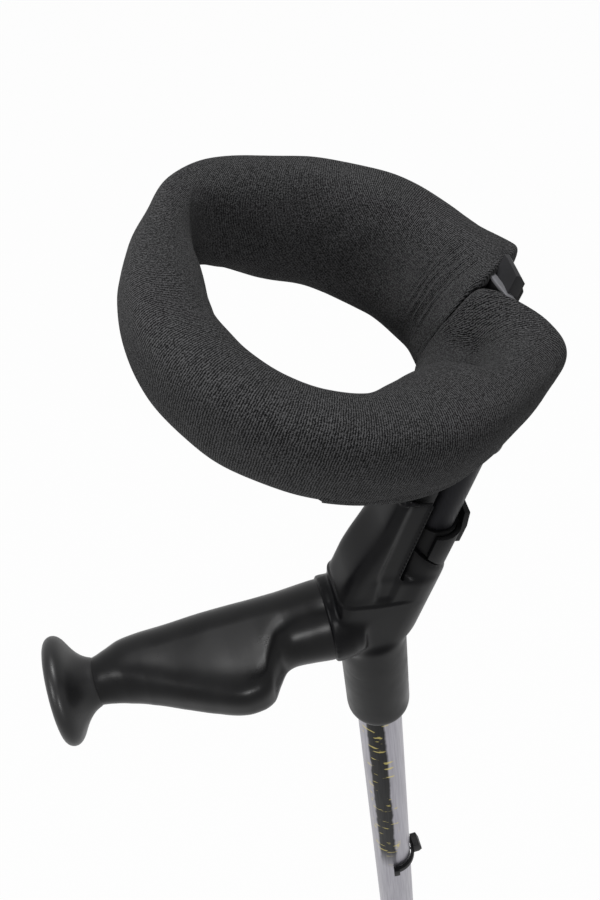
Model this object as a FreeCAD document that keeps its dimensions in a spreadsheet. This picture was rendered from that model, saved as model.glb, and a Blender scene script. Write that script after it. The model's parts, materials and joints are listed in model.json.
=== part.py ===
import FreeCAD, Part
import os
import Sketcher
from math import asin, cos, degrees, pi, radians, sin

from FreeCAD import Placement, Rotation, Vector

# A forearm crutch with a closed padded cuff.  Lengths are in millimetres, angles in degrees.
# +Z runs up the shaft from the middle of the ferrule's sole, and the hand grip points along -X.
#
# Pieces of the leaning arm are drawn in the arm frame: its origin is where the arm's axis meets the
# shaft's axis, its z runs up the arm and its x points backwards, away from the hand.
# The cuff's pieces are drawn in the cuff frame: its origin is the middle of the cuff, its z is the
# cuff's axis and its x points backwards.

SIZES = {
    # where the upper half stands
    "arm_root_height": 822.5,     # where the arm's axis meets the shaft's axis, above the floor
    "arm_lean": 18.5,             # arm leans back from the shaft by this angle
    # outer shaft tube, and the lower tube that slides in it
    "tube_radius": 11.0,
    "tube_wall": 1.2,
    "tube_top_drop": 14.0,        # top of the outer tube below the arm root
    "tube_length": 406.0,
    "lower_play": 0.3,            # air all round between the lower tube and the outer one
    "lower_wall": 1.2,
    "lower_top_drop": 162.5,      # top of the lower tube below the arm root
    "shaft_pin_drop": 267.0,      # locking pin below the arm root
    "shaft_pitch": 25.0,          # height setting from one hole to the next
    "shaft_steps": 3.0,           # settings up, and as many down, from the one shown
    # locking pins and clips
    "pin_radius": 2.4,
    "pin_play": 0.15,             # hole round a pin
    "pin_reach": 5.5,             # pin ends this far inside the outer surface of the inner tube
    "clip_gap": 0.5,              # air between a clip and what it hugs
    "clip_clearance": 0.25,       # air at the clip's two tips as it is drawn off
    "clip_wall": 2.0,
    "clip_height": 5.0,
    "clip_lug_width": 3.4,        # thick ends of the C
    "clip_lug_drop": 3.0,
    "clip_lug_depth": 0.8,        # and they stand out by this
    "clip_tab_width": 8.0,
    "clip_tab_reach": 4.5,        # thumb tab stands out from the C
    "clip_tab_rise": 6.0,
    "clip_tab_bevel": 1.8,
    "cuff_clip_wall": 1.9,
    "cuff_clip_height": 14.0,     # clip's top above the rim's middle
    "cuff_clip_lift": 0.8,        # air between the rim and the clip
    "cuff_pin_rise": 4.0,         # pin above the rim's middle
    "cuff_tab_rise": 9.0,
    "cuff_tab_thickness": 2.4,
    "cuff_tab_width": 11.0,
    "cuff_tab_knee": 1.0,         # lever's knee stands out from the C
    "cuff_tab_lean": 1.6,         # its tip lies nearer to the tube by this
    # collar at the foot of the outer tube, plug at the head of the lower tube
    "collar_height": 24.0,
    "collar_wall": 2.0,
    "collar_lip": 4.0,
    "running_play": 0.08,         # running fit of a tube in its guide, all round
    "plug_flange": 4.0,
    "plug_depth": 16.0,
    # ferrule
    "sole_radius": 19.5,
    "sole_edge": 1.5,
    "sole_height": 9.0,
    "sole_shoulder": 9.0,         # height of the slope from the sole up to the neck
    "neck_wall": 3.5,
    "ferrule_height": 52.0,
    "ferrule_floor": 12.0,        # underside of the tube above the floor
    "bead_depth": 1.6,
    "bead_height": 3.0,
    "bead_pitch": 6.0,
    "bead_count": 3.0,
    "washer_radius": 11.5,
    "washer_thickness": 2.0,
    "tread_inner": 8.0,           # middle radii of the two grooves in the sole
    "tread_outer": 14.0,
    "tread_depth": 1.6,
    "tread_width": 2.0,
    # housing
    "skirt_radius": 15.4,
    "skirt_drop": 63.0,
    "skirt_shoulder": 6.0,        # top of the skirt below the arm root
    "skirt_edge": 4.6,            # rounding of the skirt's lower end
    "housing_half_width": 13.5,
    "housing_front": 32.0,        # front face before the arm axis, up to the seam
    "housing_rear": 14.4,
    "housing_corner": 6.0,
    "housing_toe": 15.5,          # upright front of the housing before the shaft axis
    "housing_sole": 14.0,         # underside of the leaning block below the arm root
    "seam_height": 48.5,          # seam between housing and arm shell, up the arm
    "shoulder_height": 62.0,      # shoulder at the foot of the cuff tube's cup, up the arm
    "cup_radius": 12.6,
    "rim_height": 74.0,           # cup's rim where it crosses the arm's axis
    "rim_fall": 0.75,             # the rim falls by this for each millimetre backwards
    "shoulder_front": 20.0,       # the shoulder begins before the arm axis
    "socket_floor": -3.0,
    "socket_base": 1.5,
    "liner_radius": 9.4,
    "liner_rise": 1.5,            # liner stands above its clip
    "rivet_radius": 2.0,
    "rivet_head_radius": 3.6,
    "rivet_head_height": 1.4,
    "rivet_drop": 42.0,
    # arm shell, a channel open to the back, and the post that slides in it
    "shell_half_width": 13.0,
    "shell_front": 28.6,          # front of the channel's top before the arm axis
    "shell_rear": 8.3,            # rear edges of the channel before the arm axis
    "shell_wall": 2.2,
    "shell_top": 112.5,
    "shell_floor": 3.0,           # floor of the channel above the seam
    "slide_gap": 0.3,
    "post_foot": 1.3,             # air under the post at its lowest setting
    "post_wall": 3.0,
    "post_cap": 6.0,              # solid top of the post under its head
    "cuff_pitch": 8.0,
    "cuff_steps": 3.0,
    "head_bottom": 139.0,
    "head_height": 14.0,
    "head_rear": 13.5,
    "head_corner": 4.0,
    "head_overhang": 1.2,
    "cuff_tube_radius": 8.0,
    "cuff_tube_wall": 1.2,
    "cuff_tube_axis": 2.0,        # cuff tube's axis behind the arm axis
    "cuff_tube_foot": 1.5,        # air under the cuff tube at its lowest setting
    "cuff_tube_grip": 11.0,       # cuff tube pushed up into the head
    # cuff hinge
    "hinge_rise": 2.5,            # hinge pin above the head
    "hinge_setback": 9.0,         # hinge pin before the arm axis
    "hinge_pin_radius": 3.0,
    "ear_radius": 6.2,
    "ear_inner": 6.5,
    "ear_width": 5.5,
    "cap_thickness": 1.6,
    "cap_radius": 4.8,
    "knuckle_air": 1.6,           # air round the tongue's knuckle in its slot
    # cuff
    "cuff_rise": 40.4,            # middle of the cuff above the hinge pin, up the arm
    "cuff_tilt": 3.6,             # cuff's axis leans back from the arm's by this angle
    "band_radius": 54.0,
    "band_wall": 2.6,
    "band_height": 32.0,
    "pad_offset": 0.7,            # middle of the padding outside the band's inner face
    "pad_depth": 14.3,            # half the padding's thickness, inwards and outwards
    "pad_depth_back": 2.0,        # more than that at the back, less at the front
    "pad_half": 22.0,             # half the padding's height
    "pad_half_back": 2.5,         # more than that at the back, less at the front
    "pad_near_lift": 4.0,         # lower edge is raised by this on the near side
    "pad_flare": 0.18,            # slope by which the padding leans outwards as it rises
    "pad_bulge": 15.0,            # padding stands out by this at its near end
    "bulge_angle": 46.0,          # and falls back to the round over this angle
    "notch_depth": 4.5,           # the padding's ends meet this far inside the band and part outside
    "notch_slope": 0.9,           # half the notch's width for each millimetre outwards
    "sleeve_thickness": 1.4,
    "soft_gap": 0.3,
    "flap_start": 252.0,          # closing flap under the padding, from and to these angles
    "flap_end": 322.0,
    "flap_thickness": 1.8,
    "flap_top": -13.0,            # its upper edge from the cuff's middle
    "bracket_wall": 4.4,
    "bracket_half_width": 5.4,
    "bracket_bevel": 3.0,
    "bracket_top": 30.0,
    "bracket_lead": 2.5,          # hinge pin behind the bracket's outer face
    "bracket_foot": 29.0,         # where the bracket's face begins, below the cuff's middle
    "tongue_half": 5.6,           # half the depth of the tongue down to the hinge
    "tongue_rise": 12.0,          # the tongue blends into the bracket this far above its foot
    "lock_depth": 2.6,            # small block on the bracket's outer face
    "lock_half_width": 4.0,
    "lock_bottom": 7.0,
    "lock_top": 26.0,
    "lock_bevel": 2.0,
    "band_rivet_radius": 1.6,
    "band_rivet_spread": 15.0,
    "band_rivet_head": 0.8,       # rivets stand inwards from the band
    "band_rivet_cover": 1.2,      # and end this far under the bracket's face
    # hand grip
    "grip_rise": 27.5,            # grip's axis above the arm root
    "grip_joint": 17.5,           # joint with the housing before the shaft axis
    "flange_radius": 19.2,
    "flange_length": 6.0,
    "flange_bevel": 1.0,
    "core_radius": 7.0,
    "core_start": 6.0,            # inner end of the core before the shaft axis
    "core_length": 106.0,
    "grip_length": 104.5,
    "grip_root_radius": 18.5,
    "palm_reach": 33.5,           # edge of the palm rest from the grip's axis
    "finger_reach": 18.0,         # opposite side of the grip from its axis
    "grip_top": 15.2,
    "grip_under": 15.2,
    "knob_radius": 24.5,
    "knob_length": 20.5,
    "knob_neck_radius": 10.5,
    "knob_rim": 4.5,
    "knob_flare_steps": 6.0,
    "screw_radius": 3.0,
    "screw_length": 38.0,
    "screw_head_radius": 5.5,
    "screw_head_height": 3.5,
    "screw_washer_radius": 6.5,
    "screw_washer_thickness": 1.2,
    "cap_recess_radius": 8.0,
    "knob_cap_thickness": 2.4,
}

DOC = FreeCAD.newDocument("forearm_crutch")
SHEET = DOC.addObject("Spreadsheet::Sheet", "dims")
for row, (alias, value) in enumerate(SIZES.items(), start=1):
    SHEET.set(f"A{row}", alias)
    SHEET.set(f"B{row}", str(value))
    SHEET.setAlias(f"B{row}", alias)
DOC.recompute()

SUBPARTS = []          # every finished piece, in the order made

X_AXIS = Vector(1, 0, 0)
Y_AXIS = Vector(0, 1, 0)
Z_AXIS = Vector(0, 0, 1)
LEAN = "dims.arm_lean * 1 deg"
FAR = 400.0            # cutting shapes run this far, past every piece that they cut
OVER = 1.0             # shapes that are joined or cut run this far into each other
KNOB_FLARE = 2.2       # power by which the knob flares out from its neck

# lengths that several pieces share, as expressions on the sheet
LOWER_RADIUS = "(dims.tube_radius - dims.tube_wall - dims.lower_play)"
HOLE_RADIUS = "(dims.pin_radius + dims.pin_play)"
TUBE_FOOT = "(dims.arm_root_height - dims.tube_top_drop - dims.tube_length)"
CUFF_TRAVEL = "(dims.cuff_pitch * dims.cuff_steps)"
CUFF_TUBE_FOOT = f"(dims.socket_floor + dims.socket_base + dims.cuff_tube_foot + {CUFF_TRAVEL})"
CUFF_PIN = "(dims.rim_height + dims.cuff_pin_rise)"
HINGE_HEIGHT = "(dims.head_bottom + dims.head_height + dims.hinge_rise)"
CUFF_HEIGHT = f"({HINGE_HEIGHT} + dims.cuff_rise)"
BRACKET_FACE = "(dims.band_radius + dims.band_wall + dims.bracket_wall)"
CUFF_SETBACK = f"(dims.hinge_setback + {BRACKET_FACE} + dims.bracket_lead)"
LOWER_LENGTH = "(dims.arm_root_height - dims.lower_top_drop - dims.ferrule_floor)"
GRIP_END = "(dims.grip_joint + dims.grip_length)"


def size(text):
    """The value of one alias, or of an expression on the sheet."""
    return float(SHEET.evalExpression(text if "dims." in text else "dims." + text))


# ---------------------------------------------------------------- frames


def arm_frame(x=0.0, z=0.0):
    """Arm frame in the row's frame, moved by x and z in its own directions."""
    root = Placement(Vector(0, 0, size("arm_root_height")), Rotation(Y_AXIS, size("arm_lean")))
    return root.multiply(Placement(Vector(x, 0, z), Rotation()))


def cuff_frame():
    """Cuff frame in the row's frame."""
    centre = Vector(-size(CUFF_SETBACK), 0, size(CUFF_HEIGHT))
    return arm_frame().multiply(Placement(centre, Rotation(Y_AXIS, size("cuff_tilt"))))


def upright(piece, height):
    """Bind a piece's height on the shaft's axis."""
    piece.setExpression("Placement.Base.z", height)
    return piece


def on_arm(piece, x="0", z="0"):
    """Bind a piece to the leaning arm, x behind its axis and z up it."""
    piece.Placement = Placement(Vector(), Rotation(Y_AXIS, 10))
    piece.setExpression("Placement.Base.x", f"{z} * sin({LEAN}) + {x} * cos({LEAN})")
    piece.setExpression("Placement.Base.z",
                        f"dims.arm_root_height + {z} * cos({LEAN}) - {x} * sin({LEAN})")
    piece.setExpression("Placement.Rotation.Angle", LEAN)
    return piece


def on_cuff(piece, rise="0"):
    """Bind a piece to the cuff's axis, at a rise above the cuff's middle."""
    tilt = "(dims.arm_lean + dims.cuff_tilt) * 1 deg"
    piece.Placement = Placement(Vector(), Rotation(Y_AXIS, 10))
    piece.setExpression("Placement.Base.x", f"{CUFF_HEIGHT} * sin({LEAN})"
                        f" - {CUFF_SETBACK} * cos({LEAN}) + {rise} * sin({tilt})")
    piece.setExpression("Placement.Base.z", f"dims.arm_root_height + {CUFF_HEIGHT} * cos({LEAN})"
                        f" + {CUFF_SETBACK} * sin({LEAN}) + {rise} * cos({tilt})")
    piece.setExpression("Placement.Rotation.Angle", tilt)
    return piece


def on_grip(piece, reach):
    """Turn a piece's z along the hand grip, at a reach from the shaft's axis."""
    piece.Placement = Placement(Vector(), Rotation(Y_AXIS, -90))
    piece.setExpression("Placement.Base.x", f"-({reach})")
    piece.setExpression("Placement.Base.z", "dims.arm_root_height + dims.grip_rise")
    return piece


# ---------------------------------------------------------------- builders


def finished(piece, label):
    """Name a piece and put it on the list of sub-parts."""
    piece.Label = label
    SUBPARTS.append(piece)
    return piece


def from_shape(label, shape, frame=None):
    """A sub-part whose shape is worked out from the sheet's values."""
    piece = DOC.addObject("Part::Feature", label)
    piece.Shape = shape
    piece.Placement = frame or Placement()
    return finished(piece, label)


def cylinder(name, radius, height, foot="0"):
    """A Part::Cylinder about z whose radius, height and foot are expressions."""
    piece = DOC.addObject("Part::Cylinder", name)
    piece.setExpression("Radius", radius)
    piece.setExpression("Height", height)
    piece.setExpression("Placement.Base.z", foot)
    return piece


def cut(name, base, tool):
    """Base less tool."""
    piece = DOC.addObject("Part::Cut", name)
    piece.Base, piece.Tool = base, tool
    return piece


def plane_of(body, role):
    """One of a body's origin planes or axes, found by its role."""
    return next(f for f in body.Origin.OriginFeatures if f.Role == role)


def new_sketch(body, name, role):
    """An empty sketch on one of a body's origin planes."""
    sketch = body.newObject("Sketcher::SketchObject", name)
    sketch.AttachmentSupport = [(plane_of(body, role), "")]
    sketch.MapMode = "FlatFace"
    return sketch


def add_circle(sketch, radius, height=None):
    """A circle about the sketch's origin, or on its upright axis at a height."""
    start = Vector(0, size(height), 0) if height else Vector()
    number = sketch.addGeometry(Part.Circle(start, Z_AXIS, size(radius)))
    if height:
        sketch.addConstraint(Sketcher.Constraint("PointOnObject", number, 3, -2))
        rise = sketch.addConstraint(Sketcher.Constraint("DistanceY", -1, 1, number, 3, size(height)))
        sketch.setExpression(f"Constraints[{rise}]", height)
    else:
        sketch.addConstraint(Sketcher.Constraint("Coincident", number, 3, -1, 1))
    width = sketch.addConstraint(Sketcher.Constraint("Radius", number, size(radius)))
    sketch.setExpression(f"Constraints[{width}]", radius)


def add_outline(sketch, corners):
    """A closed outline of straight lines through corners given as pairs of expressions."""
    places = [Vector(size(f"0 * dims.tube_wall + {x}"), size(f"0 * dims.tube_wall + {y}"), 0)
              for x, y in corners]
    count = len(places)
    for number in range(count):
        sketch.addGeometry(Part.LineSegment(places[number], places[(number + 1) % count]))
    for number in range(count):
        sketch.addConstraint(Sketcher.Constraint("Coincident", number, 2, (number + 1) % count, 1))
    for number, (corner, place) in enumerate(zip(corners, places)):
        for kind, text, value, axis in (("DistanceX", corner[0], place.x, -2),
                                        ("DistanceY", corner[1], place.y, -1)):
            if text == "0":
                sketch.addConstraint(Sketcher.Constraint("PointOnObject", number, 1, axis))
                continue
            row = sketch.addConstraint(Sketcher.Constraint(kind, -1, 1, number, 1, value))
            sketch.setExpression(f"Constraints[{row}]", text)


def turned(label, corners):
    """A PartDesign body: an outline of (radius, height) corners turned about z."""
    body = DOC.addObject("PartDesign::Body", label)
    sketch = new_sketch(body, label + "_outline", "XZ_Plane")
    add_outline(sketch, corners)
    turn = body.newObject("PartDesign::Revolution", label + "_turn")
    turn.Profile = sketch
    turn.ReferenceAxis = (sketch, ["V_Axis"])
    turn.Angle = 360
    return body


def drill(body, name, height, depth, radius=HOLE_RADIUS):
    """A hole through a body's wall on its +x side, for a pin or a rivet."""
    DOC.recompute()
    whole = body.Shape.Volume
    sketch = new_sketch(body, name + "_hole", "YZ_Plane")
    add_circle(sketch, radius, height)
    pocket = body.newObject("PartDesign::Pocket", name + "_pocket")
    pocket.Profile = sketch
    pocket.setExpression("Length", depth)
    pocket.Reversed = True
    body.Tip = pocket
    DOC.recompute()
    assert body.Shape.Volume < whole - 1, name + ": the hole cuts nothing"
    return pocket


def drilled_tube(label, radius, wall, length, first_hole, pitch=None, holes=None):
    """A round tube with one pin hole, or a row of them, in its +x wall."""
    body = DOC.addObject("PartDesign::Body", label)
    sketch = new_sketch(body, label + "_section", "XY_Plane")
    add_circle(sketch, f"{radius} - {wall}")
    add_circle(sketch, radius)
    pad = body.newObject("PartDesign::Pad", label + "_pad")
    pad.Profile = sketch
    pad.setExpression("Length", length)
    pocket = drill(body, label, first_hole, f"{radius} + 1")
    if holes:
        pattern = body.newObject("PartDesign::LinearPattern", label + "_holes")
        pattern.Originals = [pocket]
        pattern.Direction = (plane_of(body, "Z_Axis"), [""])
        pattern.setExpression("Length", f"{pitch} * ({holes} - 1)")
        pattern.setExpression("Occurrences", holes)
        body.Tip = pattern
    return finished(body, label)


def disc(radius, bottom, top, x=0.0):
    """A plain cylinder about z, or about an axis x behind it."""
    return Part.makeCylinder(radius, top - bottom, Vector(x, 0, bottom))


def ring(inner, outer, bottom, top):
    """A plain ring about z."""
    return disc(outer, bottom, top).cut(disc(inner, bottom - 1, top + 1))


def block(x0, x1, y0, y1, z0, z1):
    """A box from its two corners."""
    return Part.makeBox(x1 - x0, y1 - y0, z1 - z0, Vector(x0, y0, z0))


def plate(outline, half_width):
    """A closed outline of (x, z) corners, thickened to both sides along y."""
    points = [Vector(x, -half_width, z) for x, z in outline]
    return Part.Face(Part.makePolygon(points + points[:1])).extrude(Vector(0, 2 * half_width, 0))


def bullet_wire(front, rear, half_width, corner, height):
    """An outline across z: flat front with round corners, flat flanks and a half-round back."""
    centre = rear - half_width
    bend = corner * (1 - cos(pi / 4))
    near = [Vector(centre, -half_width, height), Vector(corner - front, -half_width, height),
            Vector(bend - front, bend - half_width, height),
            Vector(-front, corner - half_width, height)]
    far = [Vector(p.x, -p.y, height) for p in reversed(near)]
    edges = [Part.makeLine(near[0], near[1]), Part.Arc(near[1], near[2], near[3]).toShape(),
             Part.makeLine(near[3], far[0]), Part.Arc(far[0], far[1], far[2]).toShape(),
             Part.makeLine(far[2], far[3]),
             Part.Arc(far[3], Vector(rear, 0, height), near[0]).toShape()]
    return Part.Wire(edges)


def bullet(front, rear, half_width, corner, bottom, top):
    """A straight prism up z on a bullet-shaped outline."""
    face = Part.Face(bullet_wire(front, rear, half_width, corner, bottom))
    return face.extrude(Vector(0, 0, top - bottom))


# ---------------------------------------------------------------- shaft


def make_shaft():
    """Outer tube, its foot collar and the rivet that holds it in the housing."""
    outer = drilled_tube("outer_tube", "dims.tube_radius", "dims.tube_wall", "dims.tube_length",
                         "(dims.tube_length + dims.tube_top_drop - dims.shaft_pin_drop)")
    drill(outer, "outer_tube_rivet", "(dims.tube_length + dims.tube_top_drop - dims.rivet_drop)",
          "dims.tube_radius + 1", "dims.rivet_radius")
    upright(outer, TUBE_FOOT)

    outside = "(dims.tube_radius + dims.collar_wall)"
    guide = f"({LOWER_RADIUS} + dims.running_play)"
    collar = turned("tube_collar", [
        (guide, "0"), (outside, "0"), (outside, "dims.collar_height"),
        ("dims.tube_radius", "dims.collar_height"), ("dims.tube_radius", "dims.collar_lip"),
        (guide, "dims.collar_lip")])
    upright(collar, f"{TUBE_FOOT} - dims.collar_lip")
    finished(collar, "tube_collar")

    inside = "(dims.tube_radius - dims.tube_wall)"
    head = "(dims.skirt_radius)"
    rivet = turned("tube_rivet", [
        ("0", inside), ("dims.rivet_radius", inside), ("dims.rivet_radius", head),
        ("dims.rivet_head_radius", head),
        ("dims.rivet_head_radius", f"{head} + dims.rivet_head_height"),
        ("0", f"{head} + dims.rivet_head_height")])
    rivet.Placement = Placement(Vector(), Rotation(Y_AXIS, 90))
    upright(rivet, "dims.arm_root_height - dims.rivet_drop")
    finished(rivet, "tube_rivet")


def make_lower_leg():
    """Lower tube with its row of holes, head plug, ferrule and the washer inside the ferrule."""
    lowest = "dims.arm_root_height - dims.shaft_pin_drop - dims.shaft_pitch * dims.shaft_steps"
    lower = drilled_tube("lower_tube", LOWER_RADIUS, "dims.lower_wall", LOWER_LENGTH,
                         f"({lowest} - dims.ferrule_floor)", "dims.shaft_pitch",
                         "2 * dims.shaft_steps + 1")
    upright(lower, "dims.ferrule_floor")

    stem = f"({LOWER_RADIUS} - dims.lower_wall)"
    rim = "(dims.tube_radius - dims.tube_wall - dims.running_play)"
    top = "(dims.plug_depth + dims.plug_flange)"
    plug = turned("lower_tube_plug", [
        ("0", "0"), (stem, "0"), (stem, "dims.plug_depth"), (rim, "dims.plug_depth"), (rim, top),
        ("0", top)])
    upright(plug, f"dims.ferrule_floor + {LOWER_LENGTH} - dims.plug_depth")
    finished(plug, "lower_tube_plug")

    washer = cylinder("ferrule_washer", "dims.washer_radius", "dims.washer_thickness",
                      "dims.ferrule_floor - dims.washer_thickness")
    finished(washer, "ferrule_washer")
    finished(turned("ferrule", ferrule_outline()), "ferrule")


def ferrule_outline():
    """Half section of the rubber foot: grooved sole, sloping shoulder and a beaded neck."""
    corners = [("0", "0")]
    for groove in ("dims.tread_inner", "dims.tread_outer"):
        near, far = f"({groove} - dims.tread_width / 2)", f"({groove} + dims.tread_width / 2)"
        corners += [(near, "0"), (near, "dims.tread_depth"), (far, "dims.tread_depth"), (far, "0")]
    neck = f"({LOWER_RADIUS} + dims.neck_wall)"
    corners += [("dims.sole_radius - dims.sole_edge", "0"), ("dims.sole_radius", "dims.sole_edge"),
                ("dims.sole_radius", "dims.sole_height"),
                (neck, "dims.sole_height + dims.sole_shoulder")]
    beads = int(round(size("bead_count")))
    for number in range(beads, 0, -1):
        level = f"(dims.ferrule_height - {number} * dims.bead_pitch)"
        crest = f"({neck} + dims.bead_depth)"
        corners += [(neck, level), (crest, f"({level} + dims.bead_height / 3)"),
                    (crest, f"({level} + 2 * dims.bead_height / 3)"),
                    (neck, f"({level} + dims.bead_height)")]
    recess = "(dims.ferrule_floor - dims.washer_thickness)"
    corners += [(neck, "dims.ferrule_height"), (LOWER_RADIUS, "dims.ferrule_height"),
                (LOWER_RADIUS, "dims.ferrule_floor"), ("dims.washer_radius", "dims.ferrule_floor"),
                ("dims.washer_radius", recess), ("0", recess)]
    return corners


def c_ring(hugged, wall, height):
    """A C about z, open towards -x, which can be drawn off towards +x past what it hugs."""
    inner = hugged + size("clip_gap")
    outer = inner + wall
    wrap = pi - asin((hugged + size("clip_clearance")) / inner)
    edge = Vector(FAR * cos(wrap), FAR * sin(wrap), -height)
    mouth = [Vector(0, 0, -height), edge, Vector(-FAR, 2 * FAR, -height),
             Vector(-FAR, -2 * FAR, -height), Vector(edge.x, -edge.y, -height)]
    wedge = Part.Face(Part.makePolygon(mouth + mouth[:1])).extrude(Vector(0, 0, 2 * height))
    return ring(inner, outer, -height / 2, height / 2).cut(wedge), inner, outer, wrap


def clip_pin(start, end):
    """A locking pin along +x."""
    return Part.makeCylinder(size("pin_radius"), end - start, Vector(start, 0, 0), X_AXIS)


def make_shaft_clip():
    """Snap clip round the shaft, thick at its ends, with a thumb tab and a pin."""
    half, wall = size("clip_height") / 2, size("clip_wall")
    shape, inner, outer, wrap = c_ring(size("tube_radius"), wall, size("clip_height"))
    root, reach = outer - wall / 2, outer + size("clip_tab_reach")
    rise, bevel = half + size("clip_tab_rise"), size("clip_tab_bevel")
    tab = plate([(root, -half), (reach - bevel, -half), (reach, 0), (reach - bevel, rise),
                 (root, rise)], size("clip_tab_width") / 2)
    lug_angle = degrees(size("clip_lug_width") / outer)
    lug = ring(inner, outer + size("clip_lug_depth"), -half - size("clip_lug_drop"), half)
    for start in (degrees(wrap) - lug_angle, -degrees(wrap)):
        sector = Part.makeCylinder(FAR, 2 * FAR, Vector(0, 0, -FAR), Z_AXIS, lug_angle)
        sector.rotate(Vector(), Z_AXIS, start)
        shape = shape.fuse(lug.common(sector))
    pin = clip_pin(size(LOWER_RADIUS) - size("pin_reach"), outer + size("clip_tab_reach") / 2)
    at_pin = Placement(Vector(0, 0, size("arm_root_height") - size("shaft_pin_drop")), Rotation())
    from_shape("shaft_clip", shape.fuse(tab).cut(pin).removeSplitter(), at_pin)
    from_shape("shaft_clip_pin", pin, at_pin)


def rim_wedge(lift):
    """Everything below the cup's slanting rim, raised by a lift, in the arm frame."""
    fall, middle = size("rim_fall"), size("rim_height") + lift
    return plate([(-FAR, -FAR), (FAR, -FAR), (FAR, middle - fall * FAR),
                  (-FAR, middle + fall * FAR)], FAR)


def make_cuff_clip():
    """Snap clip round the socket's liner, with a thumb lever and a pin."""
    top = size("rim_height") + size("cuff_clip_height") - size(CUFF_PIN)
    wall = size("cuff_clip_wall")
    shape, _, outer, _ = c_ring(size("liner_radius"), wall, 2 * FAR)
    shape = shape.common(block(-FAR, FAR, -FAR, FAR, -FAR, top))
    below = rim_wedge(size("cuff_clip_lift"))
    below.translate(Vector(-size("cuff_tube_axis"), 0, -size(CUFF_PIN)))
    thick, tip_top = size("cuff_tab_thickness"), top + size("cuff_tab_rise")
    knee = outer + size("cuff_tab_knee")
    tip = knee - size("cuff_tab_lean")
    lever = plate([(outer - wall / 2, 0), (knee, 0), (knee, top), (tip, tip_top),
                   (tip - thick, tip_top), (knee - thick, top)], size("cuff_tab_width") / 2)
    pin = clip_pin(size("cuff_tube_radius") - size("pin_reach"), outer - wall / 4)
    at_clip = arm_frame(size("cuff_tube_axis"), size(CUFF_PIN))
    from_shape("cuff_clip", shape.cut(below).fuse(lever).cut(pin).removeSplitter(), at_clip)
    from_shape("cuff_clip_pin", pin, at_clip)


# ---------------------------------------------------------------- housing and arm


def make_housing():
    """Moulded housing below the seam, the arm shell above it and the liner of the rear socket."""
    root = size("arm_root_height")
    seam = size("seam_height")
    leaning = bullet(size("housing_front"), size("housing_rear"), size("housing_half_width"),
                     size("housing_corner"), -FAR, seam)
    leaning.Placement = arm_frame()
    leaning = leaning.common(block(-size("housing_toe"), FAR, -FAR, FAR,
                                   root - size("housing_sole"), root + FAR))
    bottom = root - size("skirt_drop")
    skirt = disc(size("skirt_radius"), bottom, root - size("skirt_shoulder"))
    wall = size("skirt_radius") - size("tube_radius")
    rim = [e for e in skirt.Edges if e.BoundBox.ZMax < bottom + 0.01]
    skirt = skirt.makeFillet(min(size("skirt_edge"), wall - size("slide_gap")), rim)

    grip_height = root + size("grip_rise")
    joint, flange, bevel = size("grip_joint"), size("flange_radius"), size("flange_bevel")
    collar_end = joint - size("flange_length")
    outline = [(-joint, 0), (-joint, flange - bevel), (bevel - joint, flange), (-collar_end, flange),
               (-collar_end / 2, size("housing_half_width") - bevel), (0, 0)]
    points = [Vector(x, 0, grip_height + z) for x, z in outline]
    socket = Part.Face(Part.makePolygon(points + points[:1])).revolve(Vector(0, 0, grip_height), X_AXIS)
    over_seam = block(-FAR, FAR, -FAR, FAR, seam, seam + FAR)
    over_seam.Placement = arm_frame()
    housing = leaning.fuse([skirt, socket.cut(over_seam)]).removeSplitter()

    bore = disc(size("liner_radius"), size("socket_floor"), FAR, size("cuff_tube_axis"))
    bore.Placement = arm_frame().multiply(bore.Placement)
    core_room = Part.makeCylinder(size("core_radius"), joint - size("core_start"),
                                  Vector(-joint, 0, grip_height), X_AXIS)
    tube_room = disc(size("tube_radius"), bottom - OVER, root - size("tube_top_drop"))
    rivet_room = Part.makeCylinder(size("rivet_radius"), size("skirt_radius") + OVER,
                                   Vector(0, 0, root - size("rivet_drop")), X_AXIS)
    for room in (bore, core_room, tube_room, rivet_room):
        housing = housing.cut(room)
    from_shape("hub_housing", housing)
    from_shape("arm_shell", arm_shell_shape(), arm_frame())

    inner = "(dims.cuff_tube_radius + dims.running_play)"
    height = "(dims.rim_height + dims.cuff_clip_height + dims.liner_rise - dims.socket_floor)"
    liner = turned("socket_liner", [
        ("0", "0"), ("dims.liner_radius", "0"), ("dims.liner_radius", height), (inner, height),
        (inner, "dims.socket_base"), ("0", "dims.socket_base")])
    drill(liner, "socket_liner", f"({CUFF_PIN} - dims.socket_floor)", "dims.liner_radius + 1")
    finished(on_arm(liner, "dims.cuff_tube_axis", "dims.socket_floor"), "socket_liner")


def arm_shell_shape():
    """Arm above the seam: the cup round the cuff tube's socket and the channel in front of it."""
    front, half, rear = size("housing_front"), size("shell_half_width"), size("housing_rear")
    corner, seam, top = size("housing_corner"), size("seam_height"), size("shell_top")
    base = bullet(front, rear, size("housing_half_width"), corner, seam, size("shoulder_height"))
    foot = bullet_wire(front, rear, half, corner, seam)
    head = bullet_wire(size("shell_front"), rear, half, corner, top)
    channel = Part.makeLoft([foot, head], True, True)
    base = base.common(block(-size("shoulder_front"), FAR, -FAR, FAR, 0, FAR))
    channel = channel.common(block(-FAR, -size("shell_rear"), -FAR, FAR, 0, FAR))
    cup = disc(size("cup_radius"), seam, FAR, size("cuff_tube_axis")).common(rim_wedge(0))
    wall = size("shell_wall")
    room = block(wall - size("shell_front"), -size("shell_rear"), wall - half, half - wall,
                 seam + size("shell_floor"), FAR)
    shell = channel.fuse([base, cup]).cut(room)
    return shell.cut(disc(size("liner_radius"), 0, FAR, size("cuff_tube_axis"))).removeSplitter()


# ---------------------------------------------------------------- cuff carrier


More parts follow.
